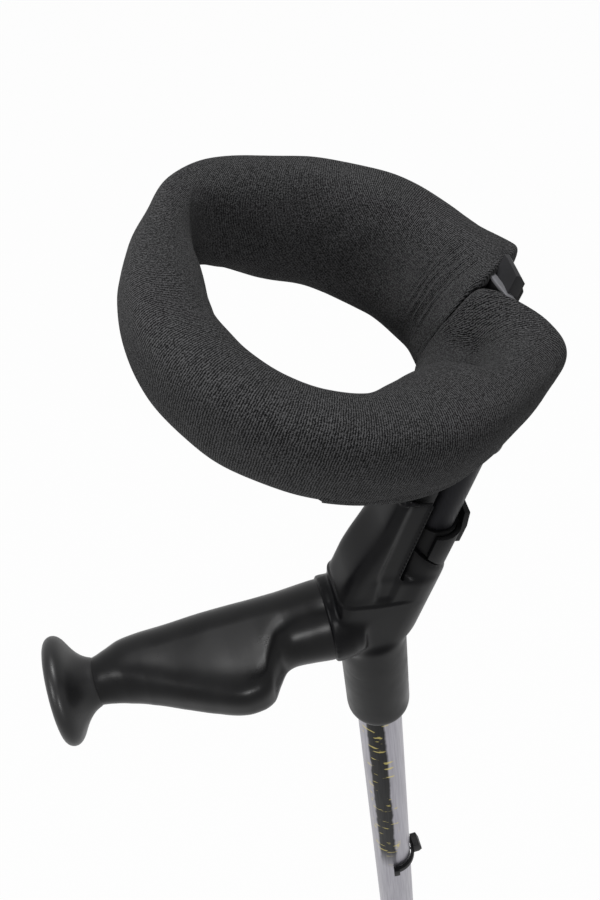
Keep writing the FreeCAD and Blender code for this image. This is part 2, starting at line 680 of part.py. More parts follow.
def make_cuff_carrier():
    """Cuff tube, the post with its hinge head, and the hinge pin with a cap at each end."""
    tube = drilled_tube("cuff_tube", "dims.cuff_tube_radius", "dims.cuff_tube_wall",
                        f"(dims.head_bottom + dims.cuff_tube_grip - {CUFF_TUBE_FOOT})",
                        f"({CUFF_PIN} - {CUFF_TRAVEL} - {CUFF_TUBE_FOOT})", "dims.cuff_pitch",
                        "2 * dims.cuff_steps + 1")
    on_arm(tube, "dims.cuff_tube_axis", CUFF_TUBE_FOOT)
    from_shape("cuff_post", post_shape(), arm_frame())

    outer = size("ear_inner") + size("ear_width")
    cap = size("cap_thickness")
    hinge = arm_frame(-size("hinge_setback"), size(HINGE_HEIGHT))
    pin = Part.makeCylinder(size("hinge_pin_radius"), 2 * outer, Vector(0, -outer, 0), Y_AXIS)
    from_shape("hinge_pin", pin, hinge)
    for side, place in (("near", -outer - cap), ("far", outer)):
        lid = Part.makeCylinder(size("cap_radius"), cap, Vector(0, place, 0), Y_AXIS)
        from_shape("hinge_cap_" + side, lid, hinge)


def post_shape():
    """The post that slides in the channel, its head over the cuff tube, and two hinge ears."""
    gap = size("slide_gap")
    half = size("shell_half_width") - size("shell_wall") - gap
    front = size("shell_front") - size("shell_wall") - gap
    rear = max(size("shell_rear"), size("liner_radius") - size("cuff_tube_axis")) + gap
    bottom = (size("seam_height") + size("shell_floor") + size("post_foot") + size(CUFF_TRAVEL))
    head_bottom = size("head_bottom")
    head_top = head_bottom + size("head_height")
    wall = size("post_wall")
    post = block(-front, -rear, -half, half, bottom, head_bottom + OVER)
    post = post.cut(block(wall - front, 0, wall - half, half - wall, bottom - OVER,
                          head_bottom - size("post_cap")))
    head = bullet(size("shell_front"), size("head_rear"), half + size("head_overhang"),
                  size("head_corner"), head_bottom, head_top)
    post = post.fuse(head)
    pivot = Vector(-size("hinge_setback"), 0, size(HINGE_HEIGHT))
    inner, width, radius = size("ear_inner"), size("ear_width"), size("ear_radius")
    for start in (-inner - width, inner):
        eye = Part.makeCylinder(radius, width, Vector(pivot.x, start, pivot.z), Y_AXIS)
        web = block(pivot.x - radius, pivot.x + radius, start, start + width, head_top - OVER, pivot.z)
        post = post.fuse([eye, web])
    slot = Part.makeCylinder(radius + size("knuckle_air"), 2 * inner, Vector(pivot.x, -inner, pivot.z),
                             Y_AXIS)
    pin = Part.makeCylinder(size("hinge_pin_radius"), 2 * FAR, Vector(pivot.x, -FAR, pivot.z), Y_AXIS)
    tube_room = disc(size("cuff_tube_radius"), head_bottom - OVER, head_bottom + size("cuff_tube_grip"),
                     size("cuff_tube_axis"))
    return post.cut(slot).cut(pin).cut(tube_room).removeSplitter()


# ---------------------------------------------------------------- cuff


def signed_power(value, power):
    """A power that keeps the sign."""
    return abs(value) ** power * (1 if value > 0 else -1)


def pad_section(angle, inset):
    """Closed outline of the padding at an angle round the cuff, drawn in by an inset all round."""
    depth = size("pad_depth") + size("pad_depth_back") * cos(angle) - inset
    half = size("pad_half") + size("pad_half_back") * cos(angle) - inset
    to_near_end = (2 * pi - angle) / radians(size("bulge_angle"))
    bulge = size("pad_bulge") * max(0.0, 1 - to_near_end) ** 1.5
    lift = size("pad_near_lift") * max(0.0, -sin(angle))
    outward = Vector(cos(angle), sin(angle), 0)
    point_count = 20
    points = []
    for number in range(point_count):
        turn = 2 * pi * number / point_count
        across, up = signed_power(cos(turn), 0.77), signed_power(sin(turn), 0.77)
        height = up * (half if up > 0 else half - lift)
        reach = size("band_radius") + size("pad_offset") + depth * across
        reach += size("pad_flare") * height
        reach += bulge * max(across, 0)
        points.append(outward * reach + Vector(0, 0, height))
    curve = Part.BSplineCurve()
    curve.interpolate(points, PeriodicFlag=True)
    return Part.Wire(curve.toShape())


def padding(inset, notch_inset=0.0):
    """The whole padding drawn in by an inset, less the notch between its two ends."""
    station_count = 25
    seam = radians(0.4)
    wires = [pad_section(seam + (2 * pi - 2 * seam) * n / station_count, inset)
             for n in range(station_count + 1)]
    apex = size("band_radius") - size("notch_depth") - notch_inset
    half_mouth = size("notch_slope") * (FAR - apex)
    corners = [Vector(apex, 0, -FAR), Vector(FAR, half_mouth, -FAR), Vector(FAR, -half_mouth, -FAR)]
    notch = Part.Face(Part.makePolygon(corners + corners[:1])).extrude(Vector(0, 0, 2 * FAR))
    return Part.makeLoft(wires, True, False).cut(notch)


def make_cuff():
    """Band, foam, knitted sleeve with its closing flap, and the bracket, lock block and rivets."""
    outer = cylinder("band_outer", "dims.band_radius + dims.band_wall", "dims.band_height")
    inner = cylinder("band_inner", "dims.band_radius", "dims.band_height")
    band = cut("band_ring", outer, inner)
    rivets = band_rivets()
    for number, rivet in enumerate(rivets):
        hole = DOC.addObject("Part::Cylinder", f"band_hole_{number}")
        hole.setExpression("Radius", "dims.band_rivet_radius")
        hole.setExpression("Height", "dims.band_wall + 2")
        hole.Placement = Placement(Vector(), Rotation(Y_AXIS, 90))
        hole.setExpression("Placement.Base.x", "dims.band_radius - 1")
        hole.setExpression("Placement.Base.z",
                           f"dims.band_height / 2 + ({number} - 0.5) * dims.band_rivet_spread")
        band = cut(f"band_drilled_{number}", band, hole)
    finished(on_cuff(band, "-(dims.band_height / 2)"), "cuff_band")
    for rivet, end in zip(rivets, ("lower", "upper")):
        from_shape("band_rivet_" + end, rivet, cuff_frame())

    gap = size("soft_gap")
    skin = size("sleeve_thickness")
    room = ring(size("band_radius") - gap, size("band_radius") + size("band_wall") + gap,
                -size("band_height") / 2 - gap, size("band_height") / 2 + gap)
    from_shape("cuff_sleeve", padding(0).cut(padding(skin, skin)).cut(room), cuff_frame())
    from_shape("cuff_foam", padding(skin + gap, skin + gap).cut(room), cuff_frame())

    flap = padding(-gap - size("flap_thickness")).cut(padding(-gap))
    span = size("flap_end") - size("flap_start")
    sector = Part.makeCylinder(FAR, FAR, Vector(0, 0, size("flap_top") - FAR), Z_AXIS, span)
    sector.rotate(Vector(), Z_AXIS, size("flap_start"))
    from_shape("closure_flap", flap.common(sector), cuff_frame())

    bracket = bracket_shape()
    for rivet in rivets:
        bracket = bracket.cut(rivet)
    from_shape("cuff_bracket", bracket, cuff_frame())
    face = size(BRACKET_FACE)
    low, high = size("lock_bottom"), size("lock_top")
    depth, bevel = size("lock_depth"), size("lock_bevel")
    lock = plate([(face, low), (face + depth, low + bevel), (face + depth, high - 2 * bevel),
                  (face, high)], size("lock_half_width"))
    from_shape("bracket_lock", lock, cuff_frame())


def band_rivets():
    """Two rivets through the band into the bracket, in the cuff frame."""
    start = size("band_radius") - size("band_rivet_head")
    end = size(BRACKET_FACE) - size("band_rivet_cover")
    half = size("band_rivet_spread") / 2
    return [Part.makeCylinder(size("band_rivet_radius"), end - start, Vector(start, 0, level), X_AXIS)
            for level in (-half, half)]


def bracket_shape():
    """Bracket on the outside of the band, and the tongue from it down to the hinge."""
    inner = size("band_radius") + size("band_wall")
    face = inner + size("bracket_wall")
    top, foot, half = size("bracket_top"), -size("bracket_foot"), size("bracket_half_width")
    bevel, blend = size("bracket_bevel"), foot + size("tongue_rise")
    upright_plate = plate([(inner - OVER, foot), (face, foot), (face, top - bevel),
                           (face - bevel, top), (inner - OVER, top)], half)
    upright_plate = upright_plate.cut(disc(inner, -FAR, FAR))
    to_cuff = cuff_frame().inverse()
    pivot = to_cuff.multVec(arm_frame(-size("hinge_setback"), size(HINGE_HEIGHT)).Base)
    depth, knuckle_half = size("tongue_half"), size("ear_inner") - size("slide_gap")
    clear = inner + size("soft_gap")
    tongue = plate([(pivot.x - depth, pivot.z), (pivot.x + depth, pivot.z), (face, blend),
                    (clear, blend), (clear, foot)], knuckle_half)
    narrow = block(0, FAR, -half, half, foot - OVER, FAR)
    tongue = tongue.common(narrow.fuse(block(0, FAR, -FAR, FAR, -FAR, foot - OVER)))
    knuckle = Part.makeCylinder(size("ear_radius"), 2 * knuckle_half,
                                Vector(pivot.x, -knuckle_half, pivot.z), Y_AXIS)
    bore = Part.makeCylinder(size("hinge_pin_radius") + size("running_play"), 2 * FAR,
                             Vector(pivot.x, -FAR, pivot.z), Y_AXIS)
    return upright_plate.fuse([tongue, knuckle]).cut(bore).removeSplitter()


# ---------------------------------------------------------------- hand grip


def grip_section(reach, near, far, top, under):
    """Closed outline across the grip at a reach from the shaft's axis."""
    point_count = 24
    points = []
    for number in range(point_count):
        turn = 2 * pi * number / point_count
        side, up = cos(turn), sin(turn)
        shelf = max(0.0, near / far - 1)
        power = 1.0 - (0.22 * min(1.0, shelf * 1.5) if side < 0 and up > 0 else 0.0)
        y = signed_power(side, power) * (far if side > 0 else near)
        z = signed_power(up, power) * (top if up > 0 else under)
        points.append(Vector(-reach, y, z))
    curve = Part.BSplineCurve()
    curve.interpolate(points, PeriodicFlag=True)
    return Part.Wire(curve.toShape())


def hand_grip_shape():
    """Rubber grip: a neck at the housing, a wide palm rest on the near side, a slim outer end."""
    root, palm, finger = size("grip_root_radius"), size("palm_reach"), size("finger_reach")
    top, under, tip = size("grip_top"), size("grip_under"), size("knob_neck_radius")
    joint, length = size("grip_joint"), size("grip_length")
    stations = (           # share of the length, then near side, far side, top and underside
        (0.0, root, root, root, root),
        (0.06, 0.95 * root, 0.97 * root, 0.935 * root, 0.915 * root),
        (0.14, 0.89 * root, 0.99 * finger, 0.88 * root, 0.865 * root),
        (0.21, 0.935 * root, 0.97 * finger, 1.05 * top, 1.02 * under),
        (0.25, 0.67 * palm, 0.97 * finger, 1.04 * top, 1.02 * under),
        (0.285, 0.865 * palm, 0.97 * finger, 1.025 * top, 1.02 * under),
        (0.33, 0.99 * palm, 0.98 * finger, 1.02 * top, 1.02 * under),
        (0.42, palm, finger, top, 1.01 * under),
        (0.54, 0.865 * palm, finger, 0.985 * top, 0.98 * under),
        (0.68, 0.655 * palm, 0.945 * finger, 0.955 * top, 0.92 * under),
        (0.82, 0.47 * palm, 0.87 * finger, 0.91 * top, 0.87 * under),
        (0.92, 1.19 * tip, 1.22 * tip, 1.17 * tip, 1.14 * tip),
        (1.0, tip, tip, tip, tip))
    wires = [grip_section(joint + share * length, *sizes) for share, *sizes in stations]
    grip = Part.makeLoft(wires, True, False)
    core_end = size("core_start") + size("core_length")
    grip = grip.cut(Part.makeCylinder(size("core_radius"), core_end - joint + OVER,
                                      Vector(OVER - joint, 0, 0), -X_AXIS))
    return grip.cut(Part.makeCylinder(size("screw_radius"), FAR, Vector(-core_end, 0, 0), -X_AXIS))


def make_grip():
    """Core, rubber grip, end knob, and the screw, washer and cap that hold them together."""
    head_seat = (f"({GRIP_END} + dims.knob_length - dims.knob_cap_thickness - dims.screw_head_height"
                 " - dims.screw_washer_thickness)")
    screw_tip = f"({head_seat} - dims.screw_length)"
    core_end = "(dims.core_start + dims.core_length)"
    hole_depth = f"({core_end} - {screw_tip})"
    core = turned("grip_core", [
        ("0", "0"), ("dims.core_radius", "0"), ("dims.core_radius", "dims.core_length"),
        ("dims.screw_radius", "dims.core_length"),
        ("dims.screw_radius", f"(dims.core_length - {hole_depth})"),
        ("0", f"(dims.core_length - {hole_depth})")])
    finished(on_grip(core, "dims.core_start"), "grip_core")
    axis = Placement(Vector(0, 0, size("arm_root_height") + size("grip_rise")), Rotation())
    from_shape("hand_grip", hand_grip_shape(), axis)

    neck, radius, long = "dims.knob_neck_radius", "dims.knob_radius", "dims.knob_length"
    rim = f"({long} - dims.knob_rim)"
    seat = f"({long} - dims.knob_cap_thickness - dims.screw_head_height - dims.screw_washer_thickness)"
    recess = "dims.cap_recess_radius"
    steps = int(round(size("knob_flare_steps")))
    shares = [step / steps for step in range(1, steps)]
    flare = [(f"({neck} + {share ** KNOB_FLARE:.3f} * ({radius} - {neck}))", f"({share:.3f} * {rim})")
             for share in shares]
    knob = turned("end_knob", [
        ("dims.screw_radius", "0"), (neck, "0"), *flare, (radius, rim),
        (radius, f"({long} - dims.knob_rim / 2)"), (f"({radius} - dims.knob_rim / 2)", long),
        (recess, long), (recess, seat), ("dims.screw_radius", seat)])
    finished(on_grip(knob, GRIP_END), "end_knob")

    thick = "dims.screw_washer_thickness"
    washer = turned("screw_washer", [("dims.screw_radius", "0"), ("dims.screw_washer_radius", "0"),
                                     ("dims.screw_washer_radius", thick), ("dims.screw_radius", thick)])
    finished(on_grip(washer, head_seat), "screw_washer")
    shoulder = f"(dims.screw_length + {thick})"
    head_top = f"({shoulder} + dims.screw_head_height)"
    screw = turned("grip_screw", [
        ("0", "0"), ("dims.screw_radius", "0"), ("dims.screw_radius", shoulder),
        ("dims.screw_head_radius", shoulder), ("dims.screw_head_radius", head_top), ("0", head_top)])
    finished(on_grip(screw, screw_tip), "grip_screw")
    cap = cylinder("knob_cap", recess, "dims.knob_cap_thickness")
    finished(on_grip(cap, f"{GRIP_END} + dims.knob_length - dims.knob_cap_thickness"), "knob_cap")


# ---------------------------------------------------------------- build and write


def check_pieces():
    """Stop at any object that failed and any sub-part that is not one sound solid."""
    for thing in DOC.Objects:
        bad = {"Invalid", "Error"} & set(thing.State)
        assert not bad, f"{thing.Label}: {bad}"
    for piece in SUBPARTS:
        shape = piece.Shape
        assert not shape.isNull() and shape.isValid(), piece.Label + ": no sound shape"
        assert len(shape.Solids) == 1, f"{piece.Label}: {len(shape.Solids)} solids"
        print(f"{piece.Label:18s} {shape.Volume / 1000:9.2f} cm3")


make_shaft()
make_lower_leg()
make_shaft_clip()
make_housing()
make_grip()
make_cuff_carrier()
make_cuff_clip()
make_cuff()
DOC.recompute()
check_pieces()
os.makedirs("parts", exist_ok=True)
for piece in SUBPARTS:
    piece.Shape.exportStep(f"parts/{piece.Label}.step")
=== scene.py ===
"""Dresses a forearm crutch: knitted cuff, moulded arm, rubber hand grip and telescopic shaft."""

import json
import logging
import math
from collections.abc import Iterable, Sequence
from dataclasses import dataclass
from enum import Enum

import bmesh
import bpy
from bmesh.types import BMEdge, BMesh, BMVert
from bpy.types import ID, Material, Node, NodeSocket, NodeTree, Object
from mathutils import Matrix, Vector, noise


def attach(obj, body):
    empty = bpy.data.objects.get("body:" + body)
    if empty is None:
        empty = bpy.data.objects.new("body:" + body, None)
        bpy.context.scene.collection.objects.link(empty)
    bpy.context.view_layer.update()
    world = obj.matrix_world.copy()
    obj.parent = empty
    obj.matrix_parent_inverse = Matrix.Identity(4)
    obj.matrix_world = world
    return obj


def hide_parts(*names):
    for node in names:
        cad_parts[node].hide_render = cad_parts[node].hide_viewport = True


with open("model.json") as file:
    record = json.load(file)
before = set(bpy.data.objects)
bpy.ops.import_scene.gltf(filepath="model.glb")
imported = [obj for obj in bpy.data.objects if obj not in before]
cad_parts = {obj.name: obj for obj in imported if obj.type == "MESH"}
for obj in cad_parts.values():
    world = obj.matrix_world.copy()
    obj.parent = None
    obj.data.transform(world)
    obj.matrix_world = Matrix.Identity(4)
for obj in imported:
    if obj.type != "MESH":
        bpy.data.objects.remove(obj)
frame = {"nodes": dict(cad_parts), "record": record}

LOG = logging.getLogger("crutch")
MM = 0.001
GRIP_HEIGHT = 850.0           # of the grip's axis, in millimetres


class Body(Enum):
    """Moving bodies of the crutch, as the frame names them."""

    CRUTCH = "crutch_body"
    LEG = "lower_leg"
    SHAFT_CLIP = "shaft_clip"
    CARRIER = "cuff_carrier"
    CUFF_CLIP = "cuff_clip"
    CUFF = "cuff"


# ---------------------------------------------------------------- shared tools


def linear(code: str) -> tuple[float, float, float, float]:
    """Turn an sRGB hex colour into linear red, green, blue and a full alpha.

    Args:
        code: The colour as "#rrggbb".

    Returns:
        The four linear channels.
    """
    channels = [int(code[i:i + 2], 16) / 255 for i in (1, 3, 5)]
    red, green, blue = (c / 12.92 if c <= 0.04045 else ((c + 0.055) / 1.055) ** 2.4
                        for c in channels)
    return red, green, blue, 1.0


def add_node(tree: NodeTree, kind: str, inputs: Sequence | dict = (), **settings: object) -> Node:
    """Add a node with its settings, values and links.

    Args:
        tree: The material's node tree.
        kind: The node's type name, after "ShaderNode".
        inputs: What its sockets get, in their order, or by name or number: a value, another
            node's output, or a node, which gives its first output.
        settings: The node's own properties.

    Returns:
        The new node.
    """
    node = tree.nodes.new("ShaderNode" + kind)
    for name, value in settings.items():
        setattr(node, name, value)
    for key, value in inputs.items() if isinstance(inputs, dict) else enumerate(inputs):
        source = value.outputs[0] if isinstance(value, Node) else value
        if isinstance(source, NodeSocket):
            tree.links.new(source, node.inputs[key])
        else:
            node.inputs[key].default_value = source
    return node


def empty_tree(owner: ID) -> NodeTree:
    """Return the cleared node tree of a material or a world.

    Args:
        owner: The material or the world.

    Returns:
        Its node tree, without nodes.
    """
    owner.use_nodes = True
    owner.node_tree.nodes.clear()
    return owner.node_tree


def smooth_step(low: float, high: float, value: float) -> float:
    """Go smoothly from 0 at low to 1 at high."""
    share = min(1.0, max(0.0, (value - low) / (high - low)))
    return share * share * (3 - 2 * share)


def window(value: float, start: float, rise: float, fall: float, end: float) -> float:
    """Go smoothly from 0 at start to 1 at rise, and from 1 at fall back to 0 at end."""
    return smooth_step(start, rise, value) * smooth_step(end, fall, value)


def signed_power(value: float, power: float) -> float:
    """Raise a number to a power and keep its sign."""
    return math.copysign(abs(value) ** power, value)


def put(name: str, data: ID) -> Object:
    """Put an object with this data into the scene.

    Args:
        name: The object's name.
        data: Its mesh, lamp or camera.

    Returns:
        The new object.
    """
    thing = bpy.data.objects.new(name, data)
    bpy.context.scene.collection.objects.link(thing)
    return thing


def stand(name: str, bm: BMesh) -> Object:
    """Stand a shape in the scene as an object. The bmesh is freed.

    Args:
        name: The object's name.
        bm: Its shape. It is freed.

    Returns:
        The new object.
    """
    mesh = bpy.data.meshes.new(name)
    bm.to_mesh(mesh)
    bm.free()
    return put(name, mesh)


def worked_out(thing: Object, *helpers: Object) -> BMesh:
    """Return an object's shape after its modifiers, and remove it and its helpers.

    Args:
        thing: The object with the modifiers.
        helpers: Objects that its modifiers use.

    Returns:
        The finished shape.
    """
    bm = bmesh.new()
    bm.from_mesh(thing.evaluated_get(bpy.context.evaluated_depsgraph_get()).data)
    for used in (thing, *helpers):
        mesh = used.data
        bpy.data.objects.remove(used)
        bpy.data.meshes.remove(mesh)
    return bm


def make_piece(name: str, bm: BMesh, body: Body, finish: "Finish",
               stands_for: Sequence[str] = (), sharp: float | None = 35.0) -> Object:
    """Turn a bmesh into a finished piece that rides on a body.

    Args:
        name: The piece's name.
        bm: Its shape, in metres in the row's frame. It is freed.
        body: The body that it rides on.
        finish: Its material.
        stands_for: CAD nodes that it replaces.
        sharp: Edges that turn by more than this many degrees stay sharp, or None for none.

    Returns:
        The new object.
    """
    piece = stand(name, bm)
    mesh = piece.data
    mesh.polygons.foreach_set("use_smooth", [True] * len(mesh.polygons))
    if sharp is not None:
        mesh.set_sharp_from_angle(angle=math.radians(sharp))
    mesh.materials.append(finish.material())
    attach(piece, body.value)
    if stands_for:
        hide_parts(*stands_for)
    LOG.info("%s: %d faces on %s", name, len(mesh.polygons), body.value)
    return piece


def dress(node: str, finish: "Finish") -> None:
    """Give a CAD node its material.

    Args:
        node: The CAD node's name.
        finish: Its finish.
    """
    thing = frame["nodes"][node]
    thing.data.materials.clear()
    thing.data.materials.append(finish.material())
    LOG.info("%s: %s", node, finish.name)


def merged_copy(node: str) -> BMesh:
    """Copy a CAD node's mesh and merge its loose triangles into faces.

    Args:
        node: The CAD node's name.

    Returns:
        The copy, with flat faces whole again.
    """
    bm = bmesh.new()
    bm.from_mesh(frame["nodes"][node].data)
    bmesh.ops.remove_doubles(bm, verts=bm.verts, dist=0.004 * MM)
    bmesh.ops.dissolve_limit(bm, angle_limit=math.radians(0.8), verts=bm.verts, edges=bm.edges)
    return bm


def round_edges(bm: BMesh, width: float, angle: float = 30.0, segments: int = 3) -> BMesh:
    """Bevel every edge of a shape that turns sharply.

    Args:
        bm: The shape, which is changed.
        width: Width of the rounding in millimetres.
        angle: Edges that turn by more than this many degrees are rounded.
        segments: Steps in each rounding.

    Returns:
        The same shape.
    """
    limit = math.radians(angle)
    sharp = [e for e in bm.edges if len(e.link_faces) == 2 and e.calc_face_angle(0.0) > limit]
    bmesh.ops.bevel(bm, geom=sharp, offset=width * MM, offset_type="OFFSET", segments=segments,
                    profile=0.5, affect="EDGES", clamp_overlap=True, material=-1)
    return bm


def between(stations: Sequence, key: str, where: float, sides: Sequence[str]) -> list[float]:
    """Read sizes between stations, on a smooth curve through them.

    Args:
        stations: Records in rising order of their key.
        key: The field that says where a station is.
        where: The place to read.
        sides: The fields to read.

    Returns:
        One value for each side.
    """
    last = len(stations) - 1
    before = max(0, min(last - 1, sum(1 for s in stations if getattr(s, key) <= where) - 1))
    near = [stations[max(0, min(last, before + k))] for k in (-1, 0, 1, 2)]
    share = (where - getattr(near[1], key)) / (getattr(near[2], key) - getattr(near[1], key))
    found = []
    for side in sides:
        a, b, c, d = (getattr(station, side) for station in near)
        found.append(0.5 * (2 * b + (c - a) * share + (2 * a - 5 * b + 4 * c - d) * share ** 2
                            + (3 * b - a - 3 * c + d) * share ** 3))
    return found


def fused(nodes: Sequence[str], voxel: float, extra: BMesh | None = None) -> BMesh:
    """Fuse copies of CAD nodes, and any extra solid, into one even skin.

    Args:
        nodes: The CAD nodes.
        voxel: Size of the skin's faces in millimetres.
        extra: A solid to fuse with them. It is freed.

    Returns:
        The skin.
    """
    bm = merged_copy(nodes[0])
    scratch = bpy.data.meshes.new("scratch")
    for more in [merged_copy(node) for node in nodes[1:]] + ([extra] if extra else []):
        more.to_mesh(scratch)
        more.free()
        bm.from_mesh(scratch)
    bpy.data.meshes.remove(scratch)
    rough = stand("rough", bm)
    remesh = rough.modifiers.new("remesh", "REMESH")
    remesh.mode = "VOXEL"
    remesh.voxel_size = voxel * MM
    return worked_out(rough)


def cut_out(solid: BMesh, tool: BMesh) -> BMesh:
    """Cut one closed shape out of another.

    Args:
        solid: The shape to cut. It is freed.
        tool: What is taken out of it. It is freed.

    Returns:
        What is left.
    """
    kept, cutter = stand("kept", solid), stand("cutter", tool)
    boolean = kept.modifiers.new("cut", "BOOLEAN")
    boolean.operation = "DIFFERENCE"
    boolean.object = cutter
    return worked_out(kept, cutter)


def add_cylinder(bm: BMesh, place: Matrix, depth: float, radius: float,
                 top_radius: float | None = None) -> None:
    """Add a closed cylinder, or a cone, about the z axis of its place. Sizes in millimetres."""
    bmesh.ops.create_cone(bm, cap_ends=True, segments=72, radius1=radius * MM,
                          radius2=(top_radius or radius) * MM, depth=depth * MM, matrix=place)


def draw_in(vert: BMVert, radius: float, keep: float = 0.0) -> None:
    """Draw a point in to a radius about the shaft's axis.

    Args:
        vert: The point.
        radius: The radius to reach, in millimetres.
        keep: The share of its distance past the radius that it keeps.
    """
    out = math.hypot(vert.co.x, vert.co.y) / MM
    if out > radius:
        share = (radius + (out - radius) * keep) / out
        vert.co.x *= share
        vert.co.y *= share


def close_up(bm: BMesh) -> None:
    """Fill a shape's open rims and turn its faces outwards."""
    bmesh.ops.holes_fill(bm, edges=[e for e in bm.edges if e.is_boundary], sides=0)
    bmesh.ops.recalc_face_normals(bm, faces=bm.faces)


def make_finer(piece: Object) -> None:
    """Give a piece one step of finer, rounder faces."""
    finer = piece.modifiers.new("finer", "SUBSURF")
    finer.levels = finer.render_levels = 1


def soften(bm: BMesh, passes: int, verts: Iterable[BMVert] | None = None) -> None:
    """Smooth a skin, or some of its points, which turns its edges and corners into blends.

    Args:
        bm: The skin.
        passes: How often it is smoothed.
        verts: The points to smooth, or None for all.
    """
    chosen = list(verts or bm.verts)
    for _ in range(passes):
        bmesh.ops.smooth_vert(bm, verts=chosen, factor=0.5, use_axis_x=True, use_axis_y=True,
                              use_axis_z=True)
    bm.normal_update()


# ---------------------------------------------------------------- finishes


@dataclass(frozen=True)
class Finish:
    """What every finish has: its name, its slot in the record, its colour and its roughness."""

    name: str
    slot: str
    colour: str
    roughness: float

    def material(self) -> Material:
        """Return the material, made once.

        Returns:
            The material.
        """
        ready = bpy.data.materials.get(self.name)
        if ready:
            return ready
        made = bpy.data.materials.new(self.name)
        tree = empty_tree(made)
        shader = add_node(tree, "BsdfPrincipled", {"Roughness": self.roughness, **self.detail(tree)})
        add_node(tree, "OutputMaterial", {"Surface": shader})
        return made

    def detail(self, tree: NodeTree) -> dict[str, object]:
        """Return what the shader takes besides; each kind of finish has its own."""
        raise NotImplementedError


@dataclass(frozen=True)
class MouldedPlastic(Finish):
    """Injection-moulded nylon or ABS off a finely eroded mould: satin, with a very fine grain."""

    grain: float = 0.45           # width of a grain in millimetres
    grain_depth: float = 0.01
    cloud: float = 14.0           # width of the patches where the gloss differs
    rubbed: str = "#111112"       # colour where it is rubbed paler
    shine: float = 0.1

    def detail(self, tree: NodeTree) -> dict[str, object]:
        """Cloudy gloss, paler rubbed patches and fine grain.

        Args:
            tree: The material's node tree.

        Returns:
            The shader's inputs.
        """
        place = add_node(tree, "TexCoord").outputs["Object"]
        clouds = add_node(tree, "TexNoise",
                          {"Vector": place, "Scale": 1 / (self.cloud * MM), "Detail": 4.0})
        grain = add_node(tree, "TexNoise",
                         {"Vector": place, "Scale": 1 / (self.grain * MM), "Detail": 1.0})
        worn = add_node(tree, "MapRange", (clouds, 0.35, 0.75, 0.0, 1.0))
        colour = add_node(tree, "Mix", {0: worn, 6: linear(self.colour), 7: linear(self.rubbed)},
                          data_type="RGBA")
        rough = self.roughness
        return {"Base Color": colour.outputs[2], "Specular IOR Level": self.shine,
                "Roughness": add_node(tree, "MapRange", (clouds, 0.3, 0.7, rough - 0.06, rough + 0.08)),
                "Normal": add_node(tree, "Bump", {"Height": grain, "Strength": 1.0,
                                                  "Distance": self.grain_depth * MM})}


@dataclass(frozen=True)
class MouldedRubber(MouldedPlastic):
    """Soft rubber compound from a polished mould: smoother, with broad gentle highlights."""

    def detail(self, tree: NodeTree) -> dict[str, object]:
        """The plastic's detail under a thin waxy bloom."""
        return {**super().detail(tree), "Coat Weight": 0.08, "Coat Roughness": 0.25}


@dataclass(frozen=True)
class Metal(Finish):
    """Drawn, turned or anodised metal: streaks along one axis and a soft sheen."""

    along: tuple[float, float, float] = (1.0, 1.0, 0.02)    # streaks are stretched along z
    streak: float = 0.6           # width of a streak in millimetres
    dull: str = "#8a8a8c"

    def detail(self, tree: NodeTree) -> dict[str, object]:
        """Fine streaks in colour and gloss.

        Args:
            tree: The material's node tree.

        Returns:
            The shader's inputs.
        """
        place = add_node(tree, "Mapping",
                         {"Vector": add_node(tree, "TexCoord").outputs["Object"], "Scale": self.along})
        streaks = add_node(tree, "TexNoise",
                           {"Vector": place, "Scale": 1 / (self.streak * MM), "Detail": 3.0})
        worn = add_node(tree, "MapRange", (streaks, 0.35, 0.7, 0.0, 0.7))
        colour = add_node(tree, "Mix", {0: worn, 6: linear(self.colour), 7: linear(self.dull)},
                          data_type="RGBA")
        rough = self.roughness
        return {"Metallic": 1.0, "Base Color": colour.outputs[2],
                "Roughness": add_node(tree, "MapRange", (streaks, 0.3, 0.7, rough - 0.05, rough + 0.08))}


